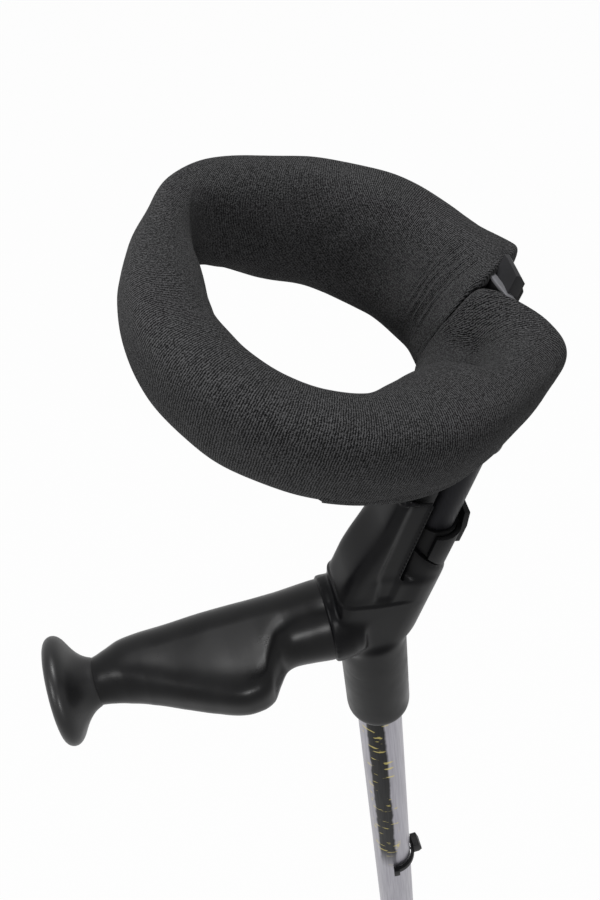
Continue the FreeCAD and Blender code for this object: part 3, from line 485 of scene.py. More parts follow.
@dataclass(frozen=True)
class RibKnit(Finish):
    """Knitted elastane sleeve: fine ribs round the padding, each a column of small stitches."""

    rib: float = 0.66             # drawn a little coarser than real, so that the ribs show
    stitch: float = 0.6
    # painted light: the paler colour of the raised yarn and of the fuzz spots, where they catch the
    # light
    pale: str = "#4a4a4b"         # the yarn where it stands out of the ribs
    depth: float = 0.16
    stray: float = 0.16           # the ribs stray by this much
    stray_reach: float = 3.0      # within this distance
    fuzz: float = 0.5             # width of the spots where the yarn's hairs catch the light

    def detail(self, tree: NodeTree) -> dict[str, object]:
        """Ribs and stitches from the piece's own map, in metres along and round it, coloured with
        painted shade in their valleys and painted light on the raised yarn.

        Args:
            tree: The material's node tree.

        Returns:
            The shader's inputs.
        """
        way = add_node(tree, "SeparateXYZ", (add_node(tree, "UVMap", uv_map="knit"),))
        place = add_node(tree, "TexCoord").outputs["Object"]
        drift = add_node(tree, "TexNoise",
                         {"Vector": place, "Scale": 1 / (self.stray_reach * MM), "Detail": 3.0})
        drift = add_node(tree, "MapRange", (drift, 0.3, 0.7, -self.stray * MM, self.stray * MM))
        across = add_node(tree, "Math", (way.outputs[0], drift), operation="ADD")
        rib = self.wave(tree, across, self.rib, 0.0)
        stitch = self.wave(tree, way.outputs[1], self.stitch, 0.8)
        loops = add_node(tree, "Math", (rib, stitch), operation="MULTIPLY")
        fuzz = add_node(tree, "TexNoise",
                        {"Vector": place, "Scale": 1 / (self.fuzz * MM), "Detail": 1.0})
        fuzz = add_node(tree, "MapRange", (fuzz, 0.3, 0.7, -0.4, 0.7))
        height = add_node(tree, "Math", (loops, fuzz), operation="ADD")
        # painted shade: from the raised yarn's painted light down to near black in the valleys between
        # ribs and stitches
        shade = add_node(tree, "MapRange", (height, 0.25, 1.15, 0.0, 1.0))
        colour = add_node(tree, "Mix", {0: shade, 6: linear(self.colour), 7: linear(self.pale)},
                          data_type="RGBA")
        return {"Base Color": colour.outputs[2], "Specular IOR Level": 0.05, "Sheen Weight": 0.05,
                "Sheen Roughness": 0.6,
                "Normal": add_node(tree, "Bump", {"Height": height, "Strength": 1.0,
                                                  "Distance": self.depth * MM})}

    def wave(self, tree: NodeTree, way: Node | NodeSocket, pitch: float, low: float) -> Node:
        """Return a wave from low to 1 with a pitch in millimetres along a way in metres.

        Args:
            tree: The material's node tree.
            way: The distance along the pattern, in metres.
            pitch: Length of one wave in millimetres.
            low: The value in its valleys.

        Returns:
            The node that gives the wave.
        """
        turn = add_node(tree, "Math", (way, math.tau / (pitch * MM)), operation="MULTIPLY")
        sine = add_node(tree, "Math", (turn,), operation="SINE")
        return add_node(tree, "MapRange", (sine, -1.0, 1.0, low, 1.0))


@dataclass(frozen=True)
class TubeWithPaintedReflection(Metal):
    """Anodised aluminium tube with a painted reflection on its front: a dark band down the side towards
    the camera, flecked with yellow.
    """

    # painted reflection: the dark band's colour, then the yellow of its flecks, where the band faces and
    # how wide it is
    band: str = "#060607"
    fleck: str = "#c0b26a"
    facing: float = -117.0        # the band's middle, in degrees round the tube from +x
    half: float = 25.0            # and half its width
    fade_from: float = 0.585      # the band fades out between these heights in metres
    fade_to: float = 0.555
    wave_size: float = 14.0       # the band's edges wave at this pitch
    blot_size: float = 7.0        # and the flecks are about this wide
    blot_stretch: tuple[float, float, float] = (0.8, 0.8, 1.9)

    def detail(self, tree: NodeTree) -> dict[str, object]:
        """Streaked metal, then the painted reflection band and its flecks.

        Args:
            tree: The material's node tree.

        Returns:
            The shader's inputs.
        """
        metal = super().detail(tree)
        place = add_node(tree, "TexCoord").outputs["Object"]
        side, front = math.sin(math.radians(self.facing)), math.cos(math.radians(self.facing))
        along = add_node(tree, "VectorMath", (place, (front, side, 0)), operation="DOT_PRODUCT")
        across = add_node(tree, "VectorMath", (place, (-side, front, 0)), operation="DOT_PRODUCT")
        turn = add_node(tree, "Math", (across.outputs["Value"], along.outputs["Value"]),
                        operation="ARCTAN2")
        off = add_node(tree, "Math", (turn,), operation="ABSOLUTE")
        ragged = add_node(tree, "TexNoise",
                          {"Vector": place, "Scale": 1 / (self.wave_size * MM), "Detail": 2.0})
        ragged = add_node(tree, "MapRange", (ragged, 0.3, 0.7, -0.05, 0.05))
        edge = add_node(tree, "Math", (off, ragged), operation="ADD")
        half = math.radians(self.half)
        inside = add_node(tree, "MapRange", (edge, half - 0.05, half + 0.05, 1.0, 0.0))
        height = add_node(tree, "SeparateXYZ", (place,)).outputs[2]
        high = add_node(tree, "MapRange", (height, self.fade_to, self.fade_from, 0.0, 1.0))
        # painted reflection: dark where the tube faces the camera, fading out upwards, and not metal
        # there
        dark = add_node(tree, "Math", (inside, high), operation="MULTIPLY")
        flat = add_node(tree, "Mapping", {"Vector": place, "Scale": self.blot_stretch})
        blots = add_node(tree, "TexNoise",
                         {"Vector": flat, "Scale": 1 / (self.blot_size * MM), "Detail": 2.0})
        flecks = add_node(tree, "MapRange", (blots, 0.62, 0.66, 0.0, 1.0))
        flecks = add_node(tree, "Math", (flecks, high), operation="MULTIPLY")
        near = add_node(tree, "MapRange", (edge, half + 0.2, half + 0.35, 1.0, 0.0))
        flecks = add_node(tree, "Math", (flecks, near), operation="MULTIPLY")
        reflection_painted = add_node(tree, "Mix", {0: dark, 6: metal["Base Color"], 7: linear(self.band)},
                          data_type="RGBA")
        flecked = add_node(tree, "Mix", {0: flecks, 6: reflection_painted.outputs[2], 7: linear(self.fleck)},
                           data_type="RGBA")
        return {**metal, "Base Color": flecked.outputs[2], "Specular IOR Level": 0.05,
                "Metallic": add_node(tree, "Math", (1.0, dark), operation="SUBTRACT")}


# nylon moulded in one piece: near black, with broad soft highlights on its blends
HOUSING = MouldedPlastic("moulded_nylon_housing", "housing_plastic", "#08080a", 0.34, shine=0.08)
# clips, collars, post and band off an eroded mould: black and matt, so that only edges shine
PLASTIC = MouldedPlastic("moulded_black_plastic", "black_plastic", "#09090a", 0.48)
# the grip's core, moulded plain because the rubber hides it: dull dark grey
CORE = MouldedPlastic("plain_core_plastic", "core_plastic", "#1e1e20", 0.55)
# the bracket's dyed nylon: a dark grey that sets it off from the black knit
GREY = MouldedPlastic("moulded_grey_plastic", "grey_plastic", "#2a2a2b", 0.45, rubbed="#303032")
# painted highlight: a pale grey for a thin bar along the web's upper edge, standing in for the light its
# edge catches in the gap
WEB_EDGE_PAINTED_HIGHLIGHT = MouldedPlastic("grey_plastic_painted_highlight", "grey_plastic", "#5c5c5e", 0.45, rubbed="#66666a")
# rubber moulded over the grip in a polished mould: black, with long gentle highlights
GRIP = MouldedRubber("polished_mould_rubber", "grip_rubber", "#09090a", 0.32, shine=0.12, grain=0.8,
                     grain_depth=0.006)
# the same rubber in a satin mould: the knob's rim takes a wider, softer shine
KNOB = MouldedRubber("satin_mould_rubber", "grip_rubber", "#0b0b0c", 0.42, shine=0.28, grain=0.8)
# tough tread rubber: matt, greyed where it rubs on the ground
FOOT = MouldedRubber("ferrule_rubber", "ferrule_rubber", "#161616", 0.62, rubbed="#242424")
# drawn aluminium, anodised lilac-grey: a soft sheen beside a dark band that is a painted reflection of
# the camera side, flecked with yellow
TUBE = TubeWithPaintedReflection("anodised_lilac_tube_painted_reflection", "lilac_tube", "#9a98a0", 0.34, dull="#87858d")
# drawn aluminium under clear anodising: pale, with fine streaks along it
BARE = Metal("clear_anodised_tube", "bare_tube", "#bdbdc4", 0.32, dull="#a2a2aa")
# drawn aluminium under a baked black coat: dark, with a dull streaked sheen
ROD = Metal("black_coated_tube", "black_tube", "#1a1a1c", 0.5, dull="#242427")
# turned steel pins, screw and washers: the brightest metal here
STEEL = Metal("turned_steel", "steel", "#b9b9bb", 0.28)
# a rivet head blackened in an oxide bath: dark, with a metal glint
BLACKENED = Metal("blackened_steel", "steel", "#2a2a2b", 0.4, dull="#1c1c1d")
# dyed black rib knit over foam: painted shade deep in the valleys between ribs, and paler painted light
# on the raised yarn
KNIT = RibKnit("rib_knit_elastane", "cuff_knit", "#070708", 0.9)
# open-cell foam inside the knit: dull grey and hidden
FOAM = MouldedPlastic("soft_foam", "cuff_padding", "#303032", 0.9)


# ---------------------------------------------------------------- studio


@dataclass(frozen=True)
class Lamp:
    """A soft rectangular lamp that looks at a point."""

    name: str
    place: tuple[float, float, float]
    target: tuple[float, float, float]
    size: tuple[float, float]     # width and height
    power: float

    def build(self) -> None:
        """Hang the lamp."""
        data = bpy.data.lights.new(self.name, "AREA")
        data.shape = "RECTANGLE"
        data.size, data.size_y = self.size
        data.energy = self.power
        lamp = put(self.name, data)
        lamp.location = self.place
        aim = Vector(self.target) - Vector(self.place)
        lamp.rotation_euler = aim.to_track_quat("-Z", "Y").to_euler()


@dataclass
class Studio:
    """White studio: pale floor, even sky, soft lamps and the camera."""

    camera_place: tuple[float, float, float] = (-0.0600, -0.2823, 1.3359)
    camera_turn: tuple[float, float, float] = (37.701, 5.159, -14.600)    # degrees about x, y, z
    lens: float = 51.18
    floor_half: float = 6.0
    floor_colour: str = "#d0d0d0"
    floor_white: float = 0.975    # share of plain white where the floor is looked at
    sky: float = 0.15
    lamps: tuple[Lamp, ...] = (
        Lamp("top_lamp", (0.1, 0.45, 2.35), (0.0, 0.0, 0.95), (0.4, 0.4), 21.0),
        Lamp("front_lamp", (-0.1, -1.1, 1.62), (0.0, 0.0, 0.88), (0.25, 0.2), 6.0),
        Lamp("left_lamp", (-1.15, -0.35, 1.6), (-0.1, 0.0, 0.87), (0.4, 0.5), 8.0))

    def build(self) -> None:
        """Set up the floor, the sky, the lamps and the camera."""
        self.lay_floor()
        self.light_sky()
        for lamp in self.lamps:
            lamp.build()
        data = bpy.data.cameras.new("camera")
        data.lens = self.lens
        data.sensor_width = 36.0
        data.sensor_fit = "VERTICAL"
        data.sensor_height = 36.0
        data.clip_start = 0.01
        data.clip_end = 50.0
        camera = put("camera", data)
        camera.location = self.camera_place
        camera.rotation_euler = [math.radians(turn) for turn in self.camera_turn]
        bpy.context.scene.camera = camera
        bpy.context.scene.view_settings.view_transform = "Standard"
        LOG.info("studio ready")

    def lay_floor(self) -> None:
        """Lay the floor, which looks white itself and still takes the object's shadow."""
        bm = bmesh.new()
        bmesh.ops.create_grid(bm, x_segments=2, y_segments=2, size=self.floor_half)
        floor = stand("floor", bm)
        made = bpy.data.materials.new("pale_floor")
        tree = empty_tree(made)
        plain = add_node(tree, "BsdfDiffuse", {"Color": linear(self.floor_colour)})
        white = add_node(tree, "Emission", {"Color": (1, 1, 1, 1), "Strength": 1.0})
        both = add_node(tree, "MixShader", (self.seen_directly(tree, self.floor_white), plain, white))
        add_node(tree, "OutputMaterial", {"Surface": both})
        floor.data.materials.append(made)

    def light_sky(self) -> None:
        """Light the scene evenly, with a sky that looks white itself."""
        world = bpy.data.worlds.new("sky")
        bpy.context.scene.world = world
        tree = empty_tree(world)
        seen = self.seen_directly(tree, 1.0)
        strength = add_node(tree, "MapRange", (seen, 0.0, 1.0, self.sky, 1.0))
        back = add_node(tree, "Background", {"Color": (1, 1, 1, 1), "Strength": strength})
        add_node(tree, "OutputWorld", {"Surface": back})

    def seen_directly(self, tree: NodeTree, most: float) -> Node:
        """Return a share that is most where the camera, or a mirror of metal or glass, looks.

        Args:
            tree: The node tree of the floor or the sky.
            most: The share where the camera looks.

        Returns:
            The node that gives the share.
        """
        path = add_node(tree, "LightPath")
        seen = path.outputs["Is Camera Ray"]
        for mirror in ("Is Glossy Ray", "Is Transmission Ray"):
            seen = add_node(tree, "Math", (seen, path.outputs[mirror]), operation="MAXIMUM")
        return add_node(tree, "Math", (seen, most), operation="MULTIPLY")


# ---------------------------------------------------------------- the cuff


@dataclass(frozen=True)
class CuffFrame:
    """The cuff's own axes: x to the back, y to the far side, z up the forearm. Sizes in mm."""

    centre: tuple[float, float] = (-6.593, 1031.281)    # along the frame's x and z
    tilt: float = 22.1            # degrees that the forearm axis leans to the back

    def point(self, radius: float, angle: float, height: float) -> Vector:
        """Return a place in metres from its radius, its angle from the back and its height.

        Args:
            radius: Distance from the forearm's axis in millimetres.
            angle: Degrees from the back, by way of the far side.
            height: Millimetres up the axis.

        Returns:
            The place in metres.
        """
        turn, lean = math.radians(angle), math.radians(self.tilt)
        back, side = radius * math.cos(turn), radius * math.sin(turn)
        along = self.centre[0] + back * math.cos(lean) + height * math.sin(lean)
        up = self.centre[1] - back * math.sin(lean) + height * math.cos(lean)
        return Vector((along, side, up)) * MM

    def local(self, place: Vector) -> tuple[float, float, float]:
        """Return the radius, the angle from the back and the height of a place in metres.

        Args:
            place: The place in metres.

        Returns:
            Radius in millimetres, angle in degrees and height in millimetres.
        """
        lean, out = math.radians(self.tilt), place - self.point(0, 0, 0)
        back = out.x * math.cos(lean) - out.z * math.sin(lean)
        height = out.x * math.sin(lean) + out.z * math.cos(lean)
        return math.hypot(out.y, back) / MM, math.degrees(math.atan2(out.y, back)) % 360, height / MM


@dataclass(frozen=True)
class PadStation:
    """The padding's section at one angle round the ring, in millimetres."""

    angle: float                  # degrees from the gap at the back, by way of the far side
    inner: float
    outer: float
    top: float
    bottom: float


@dataclass
class Sleeve:
    """Rib-knit sleeve over the cuff's foam: a ring with a V-shaped gap at the back. Sizes in mm."""

    stations: tuple[PadStation, ...] = tuple(PadStation(*row) for row in (
        (0, 39.4, 71.6, 26.6, 22.5), (12, 39.6, 71.8, 25.8, 22.6), (27, 39.8, 71.3, 23.6, 22.8),
        (50, 40.6, 70.3, 23.5, 23.4), (75, 40.9, 68.4, 22.6, 22.6), (100, 42.0, 67.6, 21.5, 20.5),
        (118, 46.5, 69.0, 21.5, 16.0), (132, 50.0, 68.6, 20.5, 11.5), (146, 48.0, 65.8, 20.0, 11.5),
        (160, 41.6, 66.4, 19.5, 14.0), (175, 39.0, 68.2, 19.5, 15.0), (192, 39.4, 68.9, 19.5, 15.5),
        (215, 40.6, 69.9, 20.5, 16.5), (240, 41.3, 69.6, 20.8, 16.6), (265, 39.4, 69.0, 21.5, 16.6),
        (277, 35.4, 69.0, 22.4, 17.0), (290, 33.2, 69.0, 23.2, 17.4), (310, 33.0, 69.4, 24.5, 18.9),
        (330, 34.6, 70.0, 24.5, 20.6), (345, 37.0, 71.2, 24.4, 23.0), (360, 38.0, 72.0, 23.0, 24.5)))
    place: CuffFrame = CuffFrame()
    middle: float = 55.0          # radius of the ring's middle line
    girth: float = 23.5           # the section's mean radius, for the knit's map
    flare: float = 0.18           # the section leans outwards by this share of its height
    squareness: float = 0.77      # 1 is an ellipse, less is squarer
    corner: float = 0.4           # the upper outer corner is squarer near both ends
    corner_reach: float = 34.0
    bulge: float = 16.5           # the near end swells outwards by this much
    bulge_reach: float = 46.0     # over its last degrees
    apex: float = 49.5            # the two ends part from this radius outwards
    part_far: float = 0.72        # the far end by this much for every millimetre outwards
    part_near: float = 0.82       # and the near end by this much
    lap: float = 3.0              # the far end laps over the near end by this much inside
    parting_reach: float = 40.0   # the ends' slant dies out over these degrees
    end_round: float = 2.2        # radius of the rounding at each end
    around: int = 72              # points round a section
    coarse: int = 160             # rings in the ring's middle
    fine_far: int = 44            # and in the last degrees of the far and the near end
    fine_near: int = 66
    fine_reach: float = 30.0
    pressure: float = 6.0         # of the air that blows the knit up
    frames: int = 20              # and for how long
    start_inset: float = 0.1      # the knit starts this much smaller and is blown up again
    most_move: float = 1.8        # and no point of it moves by more than this
    hollow: float = 14.0          # depth of the hollow that the seam presses into the near end
    near_crease: float = 0.5      # depth of the creases that the seam pulls into the near end
    near_pitch: float = 1.75      # and the distance between them
    far_crease: float = 0.5       # and the same at the far end
    far_pitch: float = 3.1
    uneven: float = 0.8           # hand-filled foam: slow swells of this height

    def build(self) -> None:
        """Model, simulate, crease and finish the sleeve."""
        bm = self.ring()
        piece = make_piece("sleeve", bm, Body.CUFF, KNIT, ("cuff_sleeve", "cuff_foam"), sharp=None)
        self.inflate(piece)
        self.gather(piece)
        make_finer(piece)

    def surface(self, angle: float, turn: float, inset: float = 0.0) -> tuple[float, float]:
        """Return radius and height on the padding.

        Args:
            angle: Degrees round the ring.
            turn: Degrees round the section, from its outer side over its top.
            inset: Distance inside the surface.

        Returns:
            Radius from the ring's axis and height along it.
        """
        inner, outer, top, bottom = between(self.stations, "angle", angle,
                                            ("inner", "outer", "top", "bottom"))
        side, rise = math.cos(math.radians(turn)), math.sin(math.radians(turn))
        cornered = smooth_step(self.corner_reach, 8.0, min(angle, 360 - angle))
        cornered *= smooth_step(-0.25, 0.35, side) * smooth_step(-0.25, 0.35, rise)
        power = self.squareness + (self.corner - self.squareness) * cornered
        across, up = signed_power(side, power), signed_power(rise, power)
        height = up * ((top if up > 0 else bottom) - inset)
        radius = (inner + outer) / 2 + across * ((outer - inner) / 2 - inset) + self.flare * height
        swell = max(0.0, 1 - (360 - angle) / self.bulge_reach)
        return radius + self.bulge * swell ** 1.5 * max(across, 0.0), height

    def slanted(self, angle: float, radius: float) -> float:
        """Return an angle moved away from the gap, or under the lap, where an end is slanted.

        Args:
            angle: Degrees round the ring.
            radius: Distance from the ring's axis in millimetres.

        Returns:
            The moved angle in degrees.
        """
        near = angle > 180
        from_end = 360 - angle if near else angle
        weight = 1 - smooth_step(0.0, self.parting_reach, from_end)
        out = max(0.0, radius - self.apex)
        away = (self.part_near if near else self.part_far) * out
        under = self.lap * smooth_step(self.apex - 1, self.apex - 9, radius)
        shift = math.degrees((away + (under if near else -under)) / radius) * weight
        return angle - shift if near else angle + shift

    def ring_angles(self) -> list[float]:
        """Return the angles of the rings in their order, with more of them near both ends.

        Returns:
            The angles in degrees, from the far end to the near end.
        """
        far, near = self.fine_reach, 360 - self.fine_reach
        parts = ((0.0, far, self.fine_far), (far, near, self.coarse), (near, 360.0, self.fine_near))
        angles = [first + number / count * (last - first)
                  for first, last, count in parts for number in range(count)]
        return [*angles, 360.0]

    def ring(self) -> BMesh:
        """Spin the section round the cuff, shape it and close both ends.

        Returns:
            The closed ring, with its map.
        """
        bm = bmesh.new()
        circle = bmesh.ops.create_circle(bm, segments=self.around, radius=0.25)["verts"]
        bmesh.ops.rotate(bm, verts=circle, matrix=Matrix.Rotation(math.pi / 2, 3, "X"))
        bmesh.ops.translate(bm, verts=circle, vec=(1, 0, 0))
        steps = self.fine_far + self.coarse + self.fine_near
        reach = math.tau * steps / (steps + 1)
        bmesh.ops.spin(bm, geom=bm.verts[:] + bm.edges[:], axis=(0, 0, 1), cent=(0, 0, 0),
                       steps=steps, angle=reach)
        angles, where = self.ring_angles(), {}
        for vert in bm.verts:
            round_axis = math.atan2(vert.co.y, vert.co.x) % math.tau
            number = round(round_axis / math.tau * (steps + 1)) % (steps + 1)
            turn = math.degrees(math.atan2(vert.co.z, math.hypot(vert.co.x, vert.co.y) - 1)) % 360
            where[vert] = (angles[number], turn)
        far_end = [e for e in bm.edges if e.is_boundary and where[e.verts[0]][0] < 180]
        near_end = [e for e in bm.edges if e.is_boundary and where[e.verts[0]][0] > 180]
        for vert, (angle, turn) in where.items():
            vert.co = self.shaped(angle, turn)
        for rim in (far_end, near_end):
            self.close_end(bm, rim)
        bmesh.ops.recalc_face_normals(bm, faces=bm.faces)
        self.lay_map(bm)
        return bm

    def shaped(self, angle: float, turn: float) -> Vector:
        """Return the place of a point of the sleeve before it is blown up.

        Args:
            angle: Degrees round the ring.
            turn: Degrees round the section.

        Returns:
            The place in metres.
        """
        from_end = min(angle, 360 - angle) / 360 * math.tau * self.apex
        depth = max(0.0, 1 - from_end / self.end_round)
        inset = self.start_inset * (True) + self.end_round * (1 - math.sqrt(1 - depth ** 2))
        radius, _ = self.surface(angle, turn, inset)
        at = self.slanted(angle, radius)
        radius, height = self.surface(at, turn, inset)
        return self.place.point(radius, at, height)

    def close_end(self, bm: BMesh, rim: list[BMEdge]) -> None:
        """Fill an end of the ring, with inset steps that keep its rim crisp.

        Args:
            bm: The ring.
            rim: The end's open edges.
        """
        cap = bmesh.ops.edgeloop_fill(bm, edges=rim)["faces"]
        for thickness in (1.2, 2.5, 4.0):
            bmesh.ops.inset_region(bm, faces=cap, thickness=thickness * MM, use_even_offset=False)

    def lay_map(self, bm: BMesh) -> None:
        """Store where the knit lies, in metres: along the ring, and round the section.

        Args:
            bm: The closed ring.
        """
        layer = bm.loops.layers.uv.new("knit")
        whole_turns = (math.tau * self.middle * MM, math.tau * self.girth * MM)
        for face in bm.faces:
            spots = []
            for loop in face.loops:
                radius, angle, height = self.place.local(loop.vert.co)
                turn = math.atan2(height, radius - self.middle) % math.tau
                spots.append([math.radians(angle) * self.middle * MM, turn * self.girth * MM])
            for part, whole in enumerate(whole_turns):
                most = max(spot[part] for spot in spots)
                for spot in spots:
                    if most - spot[part] > whole / 2:
                        spot[part] += whole
            for loop, spot in zip(face.loops, spots):
                loop[layer].uv = spot

    def inflate(self, piece: Object) -> None:
        """Blow the knit up with Blender's cloth, held at both ends, and keep the result.

        Args:
            piece: The sleeve.
        """
        ends = piece.vertex_groups.new(name="held")
        start = [vert.co.copy() for vert in piece.data.vertices]
        flat = {v for face in piece.data.polygons if len(face.vertices) != 4 for v in face.vertices}
        ends.add(sorted(flat), 1.0, "REPLACE")
        cloth = piece.modifiers.new("cloth", "CLOTH")
        cloth.settings.use_pressure = True
        cloth.settings.uniform_pressure_force = self.pressure
        cloth.settings.vertex_group_mass = ends.name
        cloth.settings.effector_weights.gravity = 0.0
        scene = bpy.context.scene
        for number in range(1, self.frames + 1):
            scene.frame_set(number)
        blown = piece.evaluated_get(bpy.context.evaluated_depsgraph_get())
        moved = [vert.co.copy() for vert in blown.data.vertices]
        piece.modifiers.remove(cloth)
        scene.frame_set(1)
        for vert, old, new in zip(piece.data.vertices, start, moved):
            step = new - old
            if step.length > self.most_move * MM:
                step *= self.most_move * MM / step.length
            vert.co = old + step
        LOG.info("sleeve blown up: mean move %.2f mm",
                 sum((n - o).length for o, n in zip(start, moved)) / len(start) / MM)

    def whereabouts(self, place: Vector) -> tuple[float, float]:
        """Return the angle round the ring and the turn round the section at a place, in degrees.

        Args:
            place: The place in metres.

        Returns:
            The angle and the turn.
        """
        radius, angle, height = self.place.local(place)
        turn = math.degrees(math.atan2(height, radius - self.middle - self.flare * height))
        return angle, turn % 360

    def gather(self, piece: Object) -> None:
        """Press in the hollow beside the seam and the creases that the seam pulls.

        Args:
            piece: The sleeve.
        """
        bm = bmesh.new()
        bm.from_mesh(piece.data)
        bm.normal_update()
        for vert in bm.verts:
            angle, turn = self.whereabouts(vert.co)
            inwards = (self.place.point(self.middle, angle, 0.0) - vert.co).normalized()
            vert.co += inwards * self.pressed(angle, turn) * MM
        bm.normal_update()
        bm.to_mesh(piece.data)
        bm.free()

    def pressed(self, angle: float, turn: float) -> float:
        """Return how far the seam presses the knit in at a place on it, in millimetres.

        The windows say where each mark starts, is full, and ends, in degrees from that end and
        round the section. The creases bow at the near end and wander at the far end.

        Args:
            angle: Degrees round the ring.
            turn: Degrees round the section, from its outer side over its top.

        Returns:
            The depth in millimetres.
        """
        from_near, from_far = 360 - angle, angle
        hollow = self.hollow * window(from_near, 3.0, 22.0, 34.0, 56.0) \
            * math.exp(-((turn - 128) / 28) ** 2)
        bow = 1.3 * ((turn - 112) / 38) ** 2 + 0.12 * (turn - 112)
        near = math.sin(math.tau * (math.radians(from_near) * 47 + bow) / self.near_pitch)
        near *= window(from_near, 2.0, 6.0, 19.0, 30.0) * window(turn, 62.0, 92.0, 142.0, 172.0)
        wander = noise.noise(Vector((angle * 0.35, turn * 0.03, 1.7)))
        far = math.sin(math.tau * (math.radians(from_far) * 45 + 1.6 * wander) / self.far_pitch)
        far *= window(from_far, 5.0, 10.0, 18.0, 30.0) * window(turn, 95.0, 120.0, 175.0, 205.0)
        uneven = noise.noise(Vector((angle * 0.06, turn * 0.02, 5.0)))
        calm = smooth_step(0.0, 12.0, min(from_near, from_far))
        return hollow + self.near_crease * near + self.far_crease * far + self.uneven * uneven * calm


@dataclass
class Flap:
    """Closing flap of the same knit, lying on the sleeve's underside with a pinked end."""

    sleeve: Sleeve
    start: float = 253.0          # degrees round the ring
    end: float = 336.0
    first_turn: float = 346.0     # degrees round the section, from here down and inwards
    last_turn: float = 205.0
    slant: float = 24.0           # the pinked end runs askew by these degrees
    tooth: float = 0.55           # teeth of the pinked end, in degrees either way
    lift: float = 0.15            # it lies this far off the sleeve
    sunk: float = 1.7             # its outer edge and its sewn end sink in by this much
    thickness: float = 0.9
    reach: float = 80.0           # its rough length and width, for the knit's map
    width: float = 55.0
    long: int = 150               # faces along and across it
    wide: int = 60

    def build(self) -> None:
        """Lay a grid on the sleeve and give it its thickness."""
        bm = bmesh.new()
        bmesh.ops.create_grid(bm, x_segments=self.long, y_segments=self.wide, size=0.5)
        layer = bm.loops.layers.uv.new("knit")
        for face in bm.faces:
            for loop in face.loops:
                share, across = loop.vert.co.x + 0.5, loop.vert.co.y + 0.5
                loop[layer].uv = (share * self.reach * MM, across * self.width * MM)
        for vert in bm.verts:
            share, across = vert.co.x + 0.5, vert.co.y + 0.5
            saw = abs((across * self.wide / 2) % 2 - 1) * 2 - 1
            first = self.start + self.slant * across + self.tooth * saw
            angle = first + (self.end - first) * share
            turn = self.first_turn + (self.last_turn - self.first_turn) * across
            lift = self.lift - self.sunk * (1 - smooth_step(0.0, 0.14, across)
                                            * smooth_step(1.0, 0.94, share))
            radius, height = self.sleeve.surface(angle, turn, -lift)
            vert.co = self.sleeve.place.point(radius, angle, height)
        bmesh.ops.recalc_face_normals(bm, faces=bm.faces)
        middle = self.sleeve.place.point(self.sleeve.middle, 290.0, 0.0)
        probe = min(bm.faces, key=lambda face: (face.calc_center_median() - middle).length)
        if probe.normal.dot(probe.calc_center_median() - middle) < 0:
            bmesh.ops.reverse_faces(bm, faces=bm.faces)
        piece = make_piece("flap", bm, Body.CUFF, KNIT, ("closure_flap",), sharp=None)
        thick = piece.modifiers.new("thick", "SOLIDIFY")
        thick.thickness = self.thickness * MM
        thick.offset = 1.0


@dataclass
class Band:
    """The stiff band inside the padding, eased outwards where the padding is thin."""

    cuff: CuffFrame = CuffFrame()
    ease: float = 3.2             # millimetres
    first: float = 100.0          # degrees round the ring
    last: float = 168.0

    def build(self) -> None:
        """Ease a copy of the CAD part outwards."""
        bm = merged_copy("cuff_band")
        bmesh.ops.subdivide_edges(bm, edges=bm.edges, cuts=1)
        for vert in bm.verts:
            radius, angle, height = self.cuff.local(vert.co)
            share = window(angle, self.first, self.first + 20, self.last - 20, self.last)
            vert.co = self.cuff.point(radius + self.ease * share, angle, height)
        make_piece("band", bm, Body.CUFF, PLASTIC, ("cuff_band",), sharp=40.0)


# ---------------------------------------------------------------- handle and grip


@dataclass(frozen=True)
class ArmFrame:
    """The leaning arm's own axes: x behind its axis, y to the far side, z up it. Sizes in mm."""

    root: float = 822.5           # height where its axis meets the shaft's
    lean: float = 18.5            # degrees

    def local(self, place: Vector) -> Vector:
        """Turn a place in metres into the arm's own millimetres.

        Args:
            place: The place in metres.

        Returns:
            The same place on the arm's axes, in millimetres.
        """
        turn = math.radians(self.lean)
        x, z = place.x / MM, place.z / MM - self.root
        return Vector((x * math.cos(turn) - z * math.sin(turn), place.y / MM,
                       x * math.sin(turn) + z * math.cos(turn)))

    def point(self, x: float, y: float, z: float) -> Vector:
        """Turn the arm's own millimetres into a place in metres.

        Args:
            x: Millimetres behind the axis.
            y: Millimetres to the far side.
            z: Millimetres up the axis.

        Returns:
            The place in metres.
        """
        turn = math.radians(self.lean)
        return Vector((x * math.cos(turn) + z * math.sin(turn), y,
                       self.root - x * math.sin(turn) + z * math.cos(turn))) * MM


